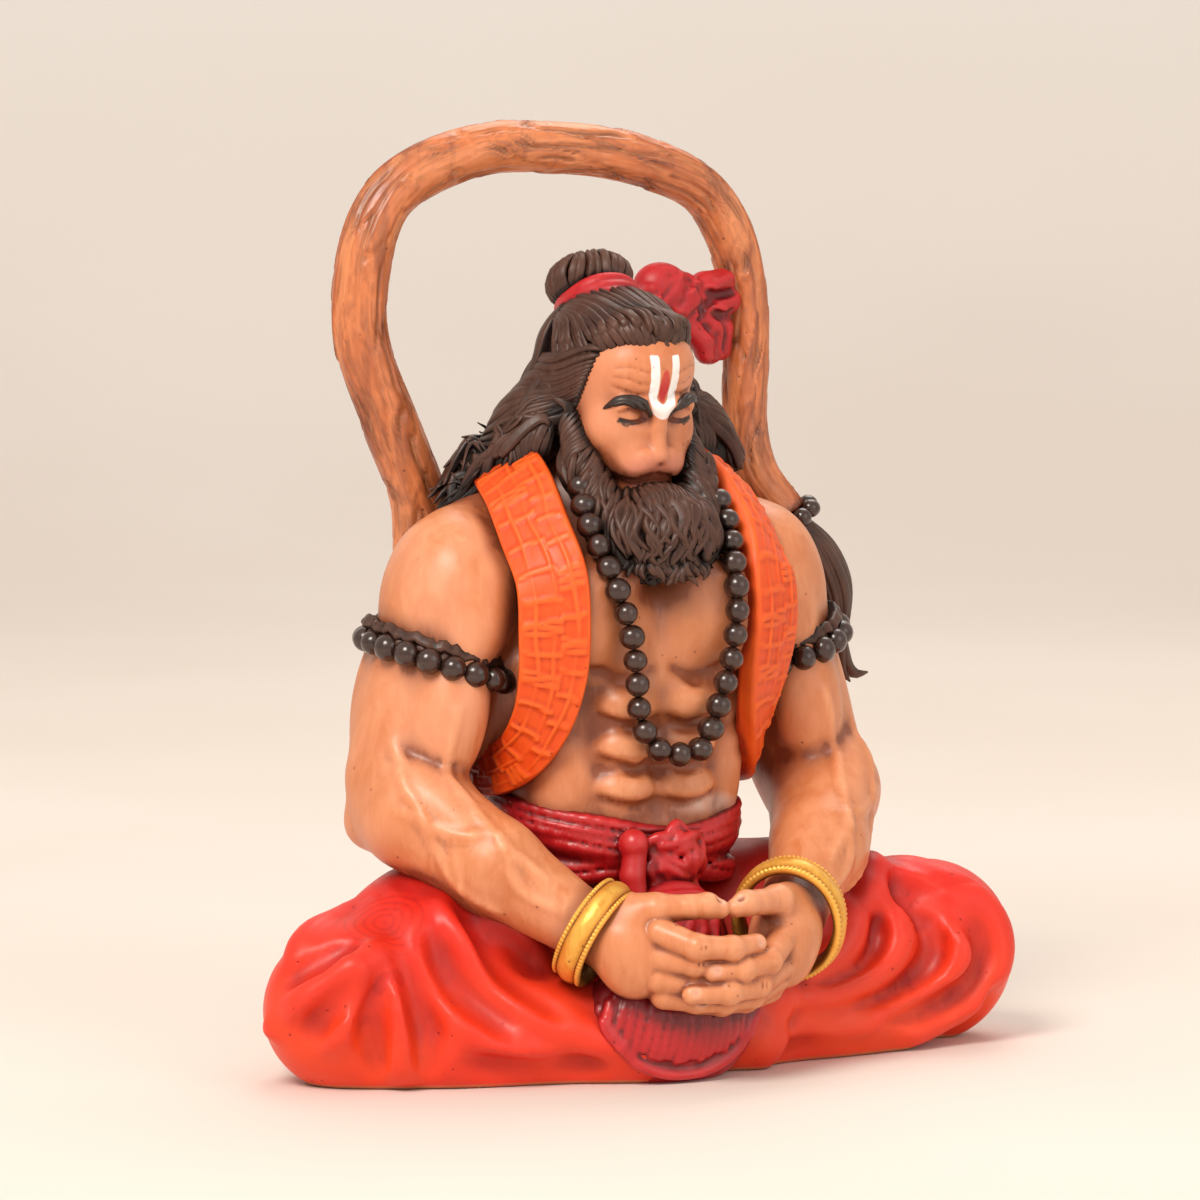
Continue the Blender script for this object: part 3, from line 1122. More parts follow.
def beard_locks(mass):
    locks = []
    rows = 10
    for row in range(rows):
        f = row / (rows - 1)
        count = 17 + (row % 2)
        for i in range(count):
            side = (i + 0.5) / count * 2 - 1 + rng.uniform(-0.03, 0.03)
            turn = side * math.radians(104 - 12 * f)
            z = 123.4 - 14.0 * f + 12.5 * side * side * (1 - 0.7 * f) - 0.8 * rng.uniform(0, 1)
            start = (math.sin(turn) * 14, -13 - 15 * math.cos(turn), z)
            start = mass.onto([start], -0.4, 8)[0]
            long = rng.uniform(8.5, 12.0)
            steps = 12
            t = np.linspace(0, 1, steps)
            swing = row * 1.9 + i * 0.55 + rng.uniform(-0.5, 0.5)
            drift = side * 0.45 + rng.uniform(-0.1, 0.1)
            line = np.column_stack([
                start[0] + drift * long * t + 1.4 * np.sin(swing + t * 6.6) * (0.3 + t),
                start[1] - 2.2 * t,
                start[2] - long * 0.93 * t])
            line = mass.onto(line, 0.45, 4) + np.outer(t ** 2, [0.2 * side, -1.7, -0.3])
            line[0] = mass.onto(line[:1], -0.9, 6)[0]
            locks.append(lock(line, rng.uniform(1.1, 1.6), 0.4, 0.1))
    # Short locks on the chin, right under the mouth.
    for row in range(3):
        for i in range(11):
            side = (i + 0.5 * (row % 2) + 0.25) / 11 * 2 - 1
            start = (side * (7.5 + 1.5 * row), -20.5 - 1.6 * row + 3.5 * side * side, 127 + 2.5 * side * side)
            start = mass.onto([start], -0.8, 8)[0]
            end = start + (side * 3.4, -5.0 - row, -5.5 - 1.5 * row)
            line = lock_line(mass, start, end, (0, -0.6, 1.0), 0.7, i * 0.7 + row, 0.35, 10, (1, 0, 0), 1.1)
            line[0] = start
            locks.append(lock(line, rng.uniform(0.95, 1.3), 0.5, 0.12))
    # The hem: longer locks that end free of the chest.
    for i in range(27):
        side = i / 26 * 2 - 1
        start = (side * 12.0, -27.0 + 9 * side * side, 112.5 + 3 * side * side)
        end = (side * 15.5 + rng.uniform(-1, 1), -33.5 + 9.5 * side * side,
                        105.6 + 4.6 * side * side + rng.uniform(-1.2, 1.2))
        line = lock_line(None, start, end, (0, -1.6, 0), 1.0, i * 0.8, 0, 12, (1, 0, 0), 1.2)
        locks.append(lock(line, rng.uniform(1.1, 1.55), 0.8, 0.12))
    # Whiskers of the cheeks.
    for s in SIDES:
        for i in range(20):
            f = i / 19
            start = (s * (12.2 - 1.2 * f), -8.5 - 10.5 * f, 142 - 17.5 * f)
            start = mass.onto([start], -0.6, 6)[0]
            end = start + (s * (2.2 - 0.6 * f), 2.0 - 3.4 * f, -9.0)
            line = lock_line(mass, start, end, (s * 1, -0.6, 0), 0.8, i * 0.5, 0.35, 11, (0, 0.6, 0.4), 1.2)
            locks.append(lock(line, rng.uniform(0.95, 1.3), 0.35, 0.12))
    return locks


def sculpt_trousers():
    c = Clay((-96, -60, -3), (98, 44, 58), 1.15, halo=1.0)
    c.blob((0, 6, 22), (34, 25, 25))
    c.blob((0, 8, 36), (27.5, 20.5, 9.5), 2)
    c.blob((0, -8, 8), (60, 26, 12), 6)
    c.blob((0, 8, 8), (46, 23, 14), 6)
    for s in SIDES:
        k = knee(s)
        near = s < 0
        c.limb([(s * 20, 4, 24), (s * 44, -7, 23.5), k], [23.5, 22, 17 if near else 18.5], 5)
        c.blob((k[0] + s * 3, -13, 17.5 if near else 21), (18.6, 17, 17.5 if near else 19.5), 4)
        ankle = (-12, -37, 11) if near else (12, -31, 11)
        c.limb([(s * 58, -15, 14), ankle], [14, 11], 5)
        c.blob((s * 45, -17, 10), (31, 20 if near else 17, 12), 5, (0, 0, -14 if near else 6))
        c.limb([(s * 78, -14, 18), (s * (85.5 if near else 90), -14, 15 if near else 20)], [9, 1.8], 4)
    # Folds, placed by where they show: each is a line of pixels, its thickness and whether it is cut in.
    folds = [
        ([(440, 905), (470, 955), (530, 1010), (610, 1050)], 2.4, False),
        ([(462, 905), (500, 965), (560, 1015)], 1.3, True),
        ([(412, 915), (425, 970), (475, 1028), (560, 1066)], 2.4, False),
        ([(432, 940), (452, 985), (510, 1035)], 1.2, True),
        ([(385, 950), (396, 1000), (404, 1078)], 2.6, False),
        ([(398, 960), (418, 1010), (430, 1070)], 1.3, True),
        ([(366, 955), (352, 1000), (332, 1046)], 1.8, False),
        ([(374, 965), (372, 1010), (374, 1072)], 1.2, True),
        ([(372, 953), (332, 985), (290, 1010)], 2.0, False),
        ([(352, 985), (325, 1015), (306, 1036)], 1.1, True),
        ([(350, 945), (320, 960), (284, 982)], 1.0, True),
        ([(345, 910), (318, 925), (294, 955)], 1.6, False),
        ([(490, 905), (520, 940), (556, 968)], 1.6, False),
        ([(500, 935), (540, 970)], 0.9, True),
        ([(470, 1066), (540, 1072), (600, 1068)], 1.1, True),
        ([(868, 868), (915, 885), (955, 918), (962, 955), (930, 990), (872, 1015), (795, 1030)], 2.0, False),
        ([(870, 885), (905, 905), (930, 935), (925, 965), (890, 992), (830, 1010)], 1.1, True),
        ([(895, 862), (950, 882), (995, 920), (1000, 960), (968, 1003), (910, 1033), (820, 1046)],
         1.8, False),
        ([(890, 875), (940, 900), (980, 935), (980, 965), (948, 1000), (890, 1026)], 1.0, True),
        ([(862, 885), (890, 912), (898, 945), (868, 975), (800, 1000)], 1.8, False),
        ([(852, 900), (872, 925), (866, 955), (820, 980)], 1.0, True),
        ([(845, 905), (856, 930), (838, 958), (800, 972)], 1.5, False),
        ([(780, 1052), (850, 1050), (905, 1046)], 1.2, True),
        ([(905, 1052), (950, 1036), (1000, 990)], 1.1, True),
        ([(770, 1018), (820, 1024), (870, 1020)], 1.0, True),
        ([(868, 858), (872, 885), (862, 915)], 1.6, False),
        ([(770, 965), (778, 1000), (772, 1045), (756, 1066)], 2.4, False),
    ]
    for pixels, thick, cut in folds:
        line = c.seen_line(pixels, 2.2)
        if len(line) < 3:
            continue
        fade = np.sin(np.linspace(0.12, 1, len(line)) * math.pi) ** 0.6
        line = c.onto(line, 0.6 * thick if cut else -0.74 * thick)
        c.limb(line, list(thick * (0.4 + 0.6 * fade)), 4.5, cut)
    # Plainer folds behind.
    for s in SIDES:
        for i in range(5):
            f = i / 4
            high = (s * (26 + 40 * f), 24 - 16 * f, 36 - 3 * f)
            middle = (s * (36 + 40 * f), 28 - 16 * f, 20)
            low = (s * (44 + 36 * f), 26 - 15 * f, 4)
            line = c.onto(smooth_line([high, middle, low], 2.2), -0.8)
            c.limb(line, 1.8, 4)
            c.limb(line + (s * 4, 0, 1.6), 0.9, 3, cut=True)
    # Shallow arcs left by layered modelling on the thighs and knees.
    for centre, sizes in (((372, 905), (12, 20, 28, 36)), ((352, 960), (10, 16)), ((930, 935), (14, 22)),
                          ((975, 930), (60, 70))):
        for size in sizes:
            turns = np.linspace(-2.8, 0.5, 9)
            pixels = [(centre[0] + size * 1.25 * math.cos(t), centre[1] + size * 0.8 * math.sin(t))
                      for t in turns]
            line = c.seen_line(pixels, 2.0)
            if len(line) > 3:
                c.limb(c.onto(line, 0.1), 0.35, 0.8, cut=True)
    c.floor()
    return c


def sculpt_sash(body):
    """Six wraps that hug the waist, each a ring laid on the body."""
    c = Clay((-34, -46, -2), (36, 34, 70), 0.66)
    wraps = ((43.0, 28.4, 26.6, 2.6), (46.4, 28.2, 26.2, 2.3), (49.4, 27.9, 25.9, 2.3),
             (52.6, 27.4, 25.4, 2.3), (55.6, 26.6, 24.6, 2.1), (57.8, 25.8, 23.6, 1.7))
    turn = np.linspace(0, 2 * math.pi, 61)
    for row, (z, wide, deep, r) in enumerate(wraps):
        x = wide * np.cos(turn)
        ring = np.column_stack([x, -1 + deep * np.sin(turn), z - 0.04 * x + 2.6 * np.sin(turn)])
        ring = ring + np.clip(body.onto(ring, 0.62 * r, 6) - ring, -2.5, 2.5)
        for _ in range(6):
            ring[:-1] = (np.roll(ring[:-1], 1, axis=0) + ring[:-1] + np.roll(ring[:-1], -1, axis=0)) / 3
            ring[-1] = ring[0]
        # The wraps are drawn together behind the knot.
        pull = np.exp(-((turn - 1.5 * math.pi) / 0.6) ** 2)
        ring[:, 2] += (48.5 - z) * 0.35 * pull + 0.4 * np.sin(turn * 3 + row * 1.7)
        thick = r * (1 + 0.14 * np.sin(turn * 5 + row * 2.1))
        c.limb(ring, list(thick), 0.7)
        out = np.column_stack([np.cos(turn), np.sin(turn), 0 * turn])
        fine = ring + out * (r * 1.0) + np.column_stack([0 * turn, 0 * turn, 0.9 * np.sin(turn * 3 + row)])
        c.limb(fine, 0.3, 0.8, cut=True)
    return c


def sculpt_knot(c):
    """A twisted knot with interlaced loops on the sash's front."""
    c.blob((-8.6, -28.8, 50.5), (3.2, 3.4, 3.4), 0.3)
    c.limb([(-8.4, -29.2, 48.5), (-9.2, -29.6, 44), (-8.4, -30.4, 39)], [2.6, 2.8, 2.3], 0.4)
    centre = np.array([1.4, -29.4, 47.4])
    # Three long loops, each of two strands, pass over and under one another.
    for k in range(3):
        lean = math.pi * k / 3 + 0.5
        for long, short in ((6.9, 3.3), (4.9, 1.5)):
            loop = []
            for i in range(29):
                t = i / 28 * 2 * math.pi
                x, z = long * math.cos(t), short * math.sin(t)
                weave = 0.8 * math.cos(3 * t + k * 2.1)
                loop.append(centre + np.array([x * math.cos(lean) - z * math.sin(lean),
                                               -1.6 + 0.05 * x * x + weave,
                                               x * math.sin(lean) + z * math.cos(lean)]))
            c.limb(loop, 1.15, 0.12)
    for x in (-4, 6):
        c.limb([(x * 0.7, -28, 43), (x, -30, 37)], [2.3, 2.0], 0.4)


def sculpt_apron():
    """The sash's pleated end hangs over the crossed shins, with two thin raised rims."""
    c = Clay((-32, -60, -2), (22, -18, 46), 0.6)
    c.blob((0, -31, 26), (13, 7, 17), 2)
    c.blob((-5.7, -38.2, 14.0), (20.4, 10.8, 15.0), 2)
    for i in range(-9, 10):
        f = i / 9
        sway = 0.45 * math.sin(i * 2.2)
        route = smooth_line([(f * 10, -34, 40), (-4 + f * 14 + sway, -44.6 + 2.6 * f * f, 24),
                             (-6.6 + f * 17.2, -48.8 + 4.0 * f * f, 7.5 + 7.0 * f * f + sway)], 1.8)
        route = c.onto(route, -0.35, 4)
        c.limb(route, list(np.linspace(0.9, 1.35, len(route))), 0.35)
    for reach, low, thick in ((18.6, 3.6, 1.2), (21.4, 2.8, 0.9)):
        rim = []
        for k in range(25):
            a = math.pi * (0.04 + 0.92 * k / 24)
            rim.append((-6.5 - reach * math.cos(a), -44 - 4 * math.sin(a),
                        25 - (25 - low) * math.sin(a) ** 0.8))
        c.limb(c.onto(smooth_line(rim, 1.6), -0.2 * thick, 8), thick, 0.5)
    c.floor()
    return c


def sculpt_ribbon():
    c = Clay((-14, -12, 144), (48, 28, 176), 0.54, halo=1.0)
    turn = np.linspace(0, 2 * math.pi, 41)
    for k, lift in enumerate((-3.9, -2.4, -0.9, 0.5, 1.8)):
        ring = np.column_stack([(9.0 - 0.4 * k) * np.cos(turn),
                                2.5 + 0.9 * lift + (7.2 - 0.2 * k) * np.sin(turn),
                                161.6 + lift - 4.6 * np.sin(turn) + 0.35 * np.sin(3 * turn + k * 1.4)])
        c.limb(ring, list(1.5 + 0.25 * np.sin(turn * 4 + k)), 0.4)
    c.limb([(7, 3, 162.5), (13, 8, 162.5), (18, 12, 163)], [2.6, 3, 4], 1)
    # Puffed loops, each with a few soft folds.
    c.blob((21.0, 13.5, 165.0), (6.6, 5.2, 5.8), 1.0, (0, 15, 0))
    c.blob((26, 14.5, 163), (5.4, 5.4, 5.8), 1.0)
    c.blob((23, 13.0, 159.5), (4.6, 4.6, 3.8), 1.0)
    c.limb([(28, 15, 161.5), (33, 16, 165), (38.0, 17.5, 166)], [3.6, 3.5, 3.0], 0.6)
    c.limb([(30, 15, 160), (35, 16, 160.5), (39.5, 17.5, 162)], [3.4, 3.5, 3.0], 0.6)
    c.limb([(30, 15, 159), (33.5, 15.5, 156), (34, 16, 151.6)], [3.6, 3.8, 3.4], 0.6)
    c.limb([(33, 16, 158), (37.0, 17, 156), (37.6, 17.5, 151.5)], [3.0, 3.2, 2.6], 0.6)
    c.limb([(27, 13, 157), (30.5, 13, 154), (31.5, 13, 150.5)], [2.6, 2.8, 2.0], 0.5)
    for route in ([(17, 7.5, 163), (21, 7.6, 168), (25, 9, 169)],
                  [(22, 7.8, 160), (26, 8.6, 165), (30, 11, 166.5)],
                  [(27, 9.5, 158.5), (31, 11, 160.5), (36, 13, 160.5)],
                  [(31, 11.5, 164.5), (36, 13, 166.5), (40, 14.5, 168)],
                  [(32.4, 12, 155.5), (34.2, 12.5, 152), (36.8, 13, 150)]):
        c.limb(c.onto(smooth_line(route, 1.2), -0.3), 0.9, 0.6)
    grooves = ([(16, 8, 159), (19.5, 7.5, 164), (23, 9, 169.5)],
               [(20, 8, 157.5), (23.5, 8.5, 162), (27, 10, 167.5)],
               [(24, 9, 157), (28.0, 10, 160), (33, 12, 162.5)],
               [(29, 10, 165.5), (34, 13, 163.5), (40, 14, 164.2)],
               [(31, 11, 157), (33.5, 12, 154), (35.2, 12.5, 150)],
               [(35.5, 13, 159), (37.0, 13.5, 155), (36.2, 14, 150.5)],
               [(14, 6, 164.5), (18, 6.5, 167), (21, 8, 170.5)],
               [(26, 9.5, 168), (29, 11, 164), (30, 12, 159)],
               [(18, 7, 161), (21, 7.5, 159), (25, 9, 158)],
               [(33, 12, 160.2), (36, 13, 158.6), (39.5, 14, 159.5)])
    for route in grooves:
        c.limb(c.onto(smooth_line(route, 1.2), 0.1), 0.75, 0.9, cut=True)
    return c


ARCH = 200 - (TAIL_ROOT * 0.73 + TAIL_END * 0.27) / 2 + FLOOR
TAIL_ROUTE = [(4, 16, 18), (-8, 31, 36), (-21, 33, 64), (-29.5, 28, 96), (-32.5, 24, 120), (-40.6, 22, 138),
              (-47, 22, 156), (-46.5, 22, 172), (-41.5, 22, 184), (-31.5, 22, 191.4), (-18.6, 22, ARCH - 0.8),
              (-5, 22, ARCH), (8, 22, ARCH - 1.2), (22, 22, 192), (34.5, 22, 186.6), (41.2, 21.5, 178),
              (45, 21, 166), (45.4, 20, 154), (44.4, 18.5, 138), (46, 17, 125), (52, 14, 115)]


def make_tail():
    path = smooth_line(TAIL_ROUTE, 0.78)
    run = np.linspace(0, 1, len(path))
    side, up = frames(path, (0, 1, 0))
    m = 80
    turn = np.linspace(0, 2 * math.pi, m, endpoint=False)
    far = run[:, None] * 440.0
    base = (TAIL_ROOT + (TAIL_END - TAIL_ROOT) * run ** 2) / 2
    c, s = np.cos(turn)[None, :], np.sin(turn)[None, :]
    flow = np.stack([far * 0.045 + 0 * c, c * 0.9 + 0 * far, s * 0.9 + 0 * far], axis=-1)
    sway = noise(flow, 3) * 0.55 + noise(flow * 2.3, 4) * 0.2
    slip = noise(flow * 1.7, 8) * 7

    # The bark is long flakes in staggered rows: each lies over the next like a shingle.
    rows = 10
    around = (turn[None, :] + sway) / (2 * math.pi) * rows
    row = np.floor(around)
    across = around - row
    shift = noise(np.stack([row * 7.31, 0 * row + 3.3, 0 * row], axis=-1), 6) * 19
    length = 21 + 7 * noise(np.stack([row * 3.7, 0 * row + 9.1, 0 * row], axis=-1), 7)
    place = (far + slip + shift * 3) / length + 0.5 * across
    down = place - np.floor(place)
    edge = np.minimum(across, 1 - across) * (base[:, None] * 2 * math.pi / rows)
    taper = np.minimum(down, 1 - down) * length
    near = np.minimum(edge, taper * 0.3 + 0.05)
    gap = smooth_step(-0.35, 0.35, noise(flow * 2.6 + 5, 23))
    crack = np.exp(-(near / (0.22 + 0.2 * gap)) ** 2) * (0.3 + 0.8 * gap)
    fine = noise(np.stack([far * 0.16 + 0 * c, c * 7.5 + 0 * far, s * 7.5 + 0 * far], axis=-1), 15)
    flake = noise(np.stack([row * 5.1, np.floor(place) * 3.3, 0 * row], axis=-1), 17)
    bark = -crack + 0.4 * (1 - down) * (0.6 + flake) - 0.4 * np.clip(np.abs(fine) * -4 + 0.6, 0, 1)
    radius = base[:, None] - 0.4 + 0.75 * bark + 0.3 * noise(flow * 1.3, 21)
    radius = np.minimum(radius, base[:, None])
    out = c[..., None] * side[:, None, :] + s[..., None] * up[:, None, :]
    ring = path[:, None, :] + radius[..., None] * out
    verts, faces = sweep(ring)
    marks = np.concatenate([bark.ravel(), [0, 0]])
    tones = np.concatenate([(flake + 0 * bark).ravel(), [0, 0]])
    piece("tail", verts, faces, TAIL, {"bark": marks, "flake": tones})


def tuft_locks():
    locks = []
    spine = smooth_line([(52.5, 14, 114), (57.5, 14, 107.5), (62, 14, 98), (64, 14, 89), (63.5, 13.5, 81)],
                        1.6)
    t = np.linspace(0, 1, len(spine))
    body = 5.4 * np.sin(np.clip(0.2 + t * 0.86, 0, 1) * math.pi) ** 0.8
    for i in range(24):
        turn = i / 24 * 2 * math.pi
        swing = rng.uniform(0, 6)
        off = np.column_stack([np.cos(turn) * body, np.sin(turn) * body * 0.8, 0.6 * np.sin(swing + t * 4)])
        keep = int(len(spine) * rng.uniform(0.82, 1.0))
        locks.append(lock((spine + off)[:keep], rng.uniform(1.5, 2.0), 0.7, 0.15))
    ends = ([(64, 13, 94), (65.5, 13, 86), (67, 13, 81.5), (69.5, 13, 79.4), (72.5, 13, 79.6)],
            [(63, 12, 94), (64.5, 12, 86), (65.5, 12, 80.5), (67.5, 12, 77.8)],
            [(62, 12, 93), (62.5, 12, 85), (62.5, 12, 80), (61.6, 12, 76.8)])
    for k, end in enumerate(ends):
        line = smooth_line(end, 1.3)
        locks.append(lock(line, 2.0 - 0.2 * k, 0.9, 0.12))
    return locks


def make_beads(name, places, across, material):
    """Beads worn a little out of round, one at each place."""
    bm = bmesh.new()
    for p in places:
        r = across / 2 * rng.uniform(0.94, 1.06) * MM
        made = bmesh.ops.create_icosphere(bm, subdivisions=3, radius=r)
        shape = Vector((1, 1, 1)) + Vector(rng.uniform(-0.06, 0.06, 3))
        bmesh.ops.scale(bm, vec=shape, verts=made["verts"])
        bmesh.ops.translate(bm, vec=Vector((np.array(p) - (0, 0, FLOOR)) * MM), verts=made["verts"])
    mesh = bpy.data.meshes.new(name)
    bm.to_mesh(mesh)
    bm.free()
    finish_piece(name, mesh, material)


ARMBAND = np.array([40.5, 0, 88.6])
NECKLACE_ROUTE = [(-14, -14, 129), (-16.5, -23, 119), (-14.5, -30, 108), (-11.2, -32, 97), (-9.4, -31.6, 88),
                  (-8, -31, 77), (-4.4, -31.2, 71), (0.8, -31.6, 69.3), (6.5, -31.2, 70.5), (10.2, -31, 78),
                  (13.1, -31.6, 88), (14.5, -32, 98), (15, -30, 108), (16.5, -23, 119), (14, -14, 129)]


def armband(s, n=24, swell=0.0):
    turn = np.linspace(0, 2 * math.pi, n, endpoint=False)
    return np.column_stack([s * (ARMBAND[0] + (14.6 + swell) * np.cos(turn)), (16.6 + swell) * np.sin(turn),
                            ARMBAND[2] + 4.2 * np.cos(turn) + 1.5 * np.sin(turn)])


def make_armband_cords():
    """The dark band behind the beads: rough twisted cords."""
    locks = []
    for s in SIDES:
        for k, (drop, swell, thick) in enumerate(((3.4, -1.0, 1.5), (1.6, -1.5, 1.6), (-0.6, -2.0, 1.7))):
            ring = armband(s, 90, swell)
            turn = np.linspace(0, 2 * math.pi, 91)
            ring = np.vstack([ring, ring[:1]]) + (0, 0, drop)
            ring[:, 2] += 0.3 * np.sin(turn * 14 + k) + 0.25 * np.sin(turn * 31 + 2 * k)
            locks.append((ring, list(thick * (1 + 0.16 * np.sin(turn * 37 + k) + 0.1 * np.sin(turn * 61)))))
    return locks


def bangle_frame(s):
    middle = wrist(s)
    way = middle - np.array([s * 40, -20, 48])
    way /= np.linalg.norm(way)
    across = np.cross((0, 0, 1), way)
    across /= np.linalg.norm(across)
    return middle + way * 2, way, across, np.cross(way, across)


def make_bangles():
    skins = []
    for s in SIDES:
        middle, way, across, up = bangle_frame(s)
        if s > 0:
            # The left one is loose and leans on the hand.
            middle = middle + way * 0.8 + up * 0.6
            lean = math.radians(16)
            way, up = way * math.cos(lean) + up * math.sin(lean), up * math.cos(lean) - way * math.sin(lean)
        radius = BANGLE_RADIUS + (1.0 if s > 0 else -0.4)
        n = 320
        turn = np.linspace(0, 2 * math.pi, n, endpoint=False)
        section = [(-1, 0.0), (-1, 0.6), (-0.94, 0.85), (-0.84, 0.92), (-0.74, 0.84), (-0.68, 0.66),
                   (-0.6, 0.78), (-0.44, 1.06), (-0.22, 1.26), (0, 1.33), (0.22, 1.26), (0.44, 1.06),
                   (0.6, 0.78), (0.68, 0.66), (0.74, 0.84), (0.84, 0.92), (0.94, 0.85), (1, 0.6), (1, 0.0),
                   (0.7, -0.6), (0, -0.85), (-0.7, -0.6)]
        rings = []
        for t in turn:
            out = across * math.cos(t) + up * math.sin(t) * 1.1
            row = []
            for f, h in section:
                beaded = abs(f) in (0.94, 0.84, 0.74)
                bead = 0.14 * math.sin(t * 76) if beaded else 0.05 * math.sin(t * 7 + f * 3)
                row.append(middle + out * (radius + h * 1.3 + bead) + way * f * (3.8 if s > 0 else 3.3))
            rings.append(row)
        skins.append(sweep(rings, closed=True))
    joined_piece("bangles", skins, GOLD)


def shawl_route(s):
    return [(s * 8, 19, 127), (s * 16, 13, 130), (s * 22.5, 2, 128.5), (s * 25, -9, 124),
            (s * 26, -17.5, 116.5), (s * 25.8, -24.8, 107), (s * 25.8, -26.2, 96), (s * 25.4, -24.4, 86),
            (s * 25.8, -20.6, 77), (s * 27.5, -14, 69), (s * 29.5, -4, 65), (s * 30.5, 8, 68),
            (s * 29, 17, 80), (s * 26, 21, 96), (s * 20, 22, 112)]


def make_shawl():
    """A thick strap over each shoulder, with a net of raised cords on its outer face."""
    skins, cords = [], []
    step = 0.68
    for s in SIDES:
        path = smooth_line(shawl_route(s), step)
        n = len(path)
        run = np.linspace(0, 1, n)
        far = run * (n - 1) * step
        middle = np.column_stack([np.full(n, s * 12.0), np.zeros(n), np.minimum(path[:, 2], 112)])
        side, up = frames(path, path - middle)
        wide = SHAWL_WIDTH / 2 * (1 - 0.28 * smooth_step(0.4, 0.62, run))
        half = SHAWL_THICKNESS / 2
        top = 46
        u = np.linspace(-1, 1, top)
        around = [*((x, 1.0) for x in u), (1.04, 0.5), (1.04, -0.5), *((x, -1.0) for x in u[::-4]),
                  (-1.04, -0.5), (-1.04, 0.5)]
        rows, marks = [], []
        pitch = 6.0
        for i in range(n):
            row, mark = [], []
            for x, h in around:
                cord = 0.0
                if h == 1.0:
                    for part, (line, strength) in enumerate(((-0.62, 0.85), (-0.05, 0.6), (0.5, 0.85))):
                        sway = 0.05 * math.sin(far[i] * 0.17 + part * 2.1 + s)
                        sway += 0.03 * math.sin(far[i] * 0.43 + part)
                        broken = 0.6 + 0.4 * math.sin(far[i] * 0.23 + part * 1.9)
                        cord = max(cord, strength * broken * math.exp(-((x - line - sway) / 0.06) ** 2))
                    for part, (a, b, shift) in enumerate(((-0.98, -0.15, 0.0), (-0.3, 0.98, 0.47))):
                        if a <= x <= b:
                            wobble = 0.35 * math.sin(x * 4 + far[i] * 0.19 + part * 2)
                            slack = 0.9 * math.sin(far[i] * 0.16 + part * 1.3)
                            phase = (far[i] + wobble + slack) / pitch + shift
                            near = abs(phase - round(phase)) * pitch
                            # Some rungs are laid double.
                            if math.sin(round(phase) * 2.7 + part) > 0.5:
                                near = min(near, abs(near - 1.2))
                            end = smooth_step(0, 0.09, min(x - a, b - x))
                            cord = max(cord, end * math.exp(-(near / 0.36) ** 2))
                crown = 0.35 * (1 - x * x) if h == 1.0 else 0.0
                lift = half * h + crown + 0.62 * cord
                row.append(path[i] + side[i] * x * wide[i] + up[i] * lift)
                mark.append(cord)
            rows.append(row)
            marks.append(mark)
        skins.append(sweep(rows))
        cords += [np.array(marks).ravel(), np.zeros(2)]
    joined_piece("shawl", skins, ORANGE, {"cord": np.concatenate(cords)})


def face_marks(verts, h, mouth):
    """Signed distances, in millimetres, to the painted areas of the face."""
    local = (verts - h.origin) @ h.turn
    x, y, z = local.T
    front = y < -6
    unmarked = 9.0
    low = BROW_LINE - 0.4
    top = HAIR_LINE + 0.6
    # The forehead mark is a white U with a red drop between its arms.
    spread = 2.1 + 0.5 * smooth_step(low, top, z)
    arm = np.abs(np.abs(x) - spread) - 0.95
    stem = np.maximum(arm, low + 2.6 - z)
    cup = np.hypot(x, (z - low - 2.6) / 1.25) - 3.05
    hole = np.hypot(x, (z - low - 3.4) / 1.3) - 1.35
    base = np.maximum(cup, z - (low + 2.7))
    white = np.minimum(stem, base)
    white = np.maximum(white, -hole)
    white = np.maximum(white, z - top)
    red = np.hypot(x, (z - low - 5.4) / 3.4) - 1.0
    lash = np.full(len(verts), unmarked)
    for s in SIDES:
        f = (x * s - EYE_AT) / EYE_WIDTH
        line = EYE_LINE - 0.9 + 1.9 * f * f
        d = np.abs(z - line + 0.1) - 0.55 * (1 - 1.4 * f * f)
        d = np.maximum(d, (np.abs(f) - 0.56) * EYE_WIDTH)
        lash = np.minimum(lash, d)
        for k in range(4):
            root = 0.16 + 0.11 * k
            a = np.array([s * (EYE_AT + root * EYE_WIDTH), EYE_LINE - 0.9 + 1.9 * root * root])
            b = a + np.array([s * 0.6, -0.95 + 0.12 * k])
            p = np.column_stack([x, z])
            t = np.clip(((p - a) @ (b - a)) / ((b - a) @ (b - a)), 0, 1)
            lash = np.minimum(lash, np.linalg.norm(p - a - t[:, None] * (b - a), axis=1) - 0.22)
    line = np.array(mouth)
    lip = np.full(len(verts), unmarked)
    for a, b in zip(line[:-1], line[1:]):
        t = np.clip(((local - a) @ (b - a)) / ((b - a) @ (b - a)), 0, 1)
        lip = np.minimum(lip, np.linalg.norm(local - a - t[:, None] * (b - a), axis=1) - 1.0)
    muzzle = np.hypot(x / 8.2, (z - MOUTH_LINE - 0.6) / 4.6) * 5 - 5
    out = {}
    for name, d in (("mark_white", white), ("mark_red", red), ("lash", lash), ("lip", lip),
                    ("muzzle", muzzle)):
        out[name] = np.where(front, d, unmarked)
    return out


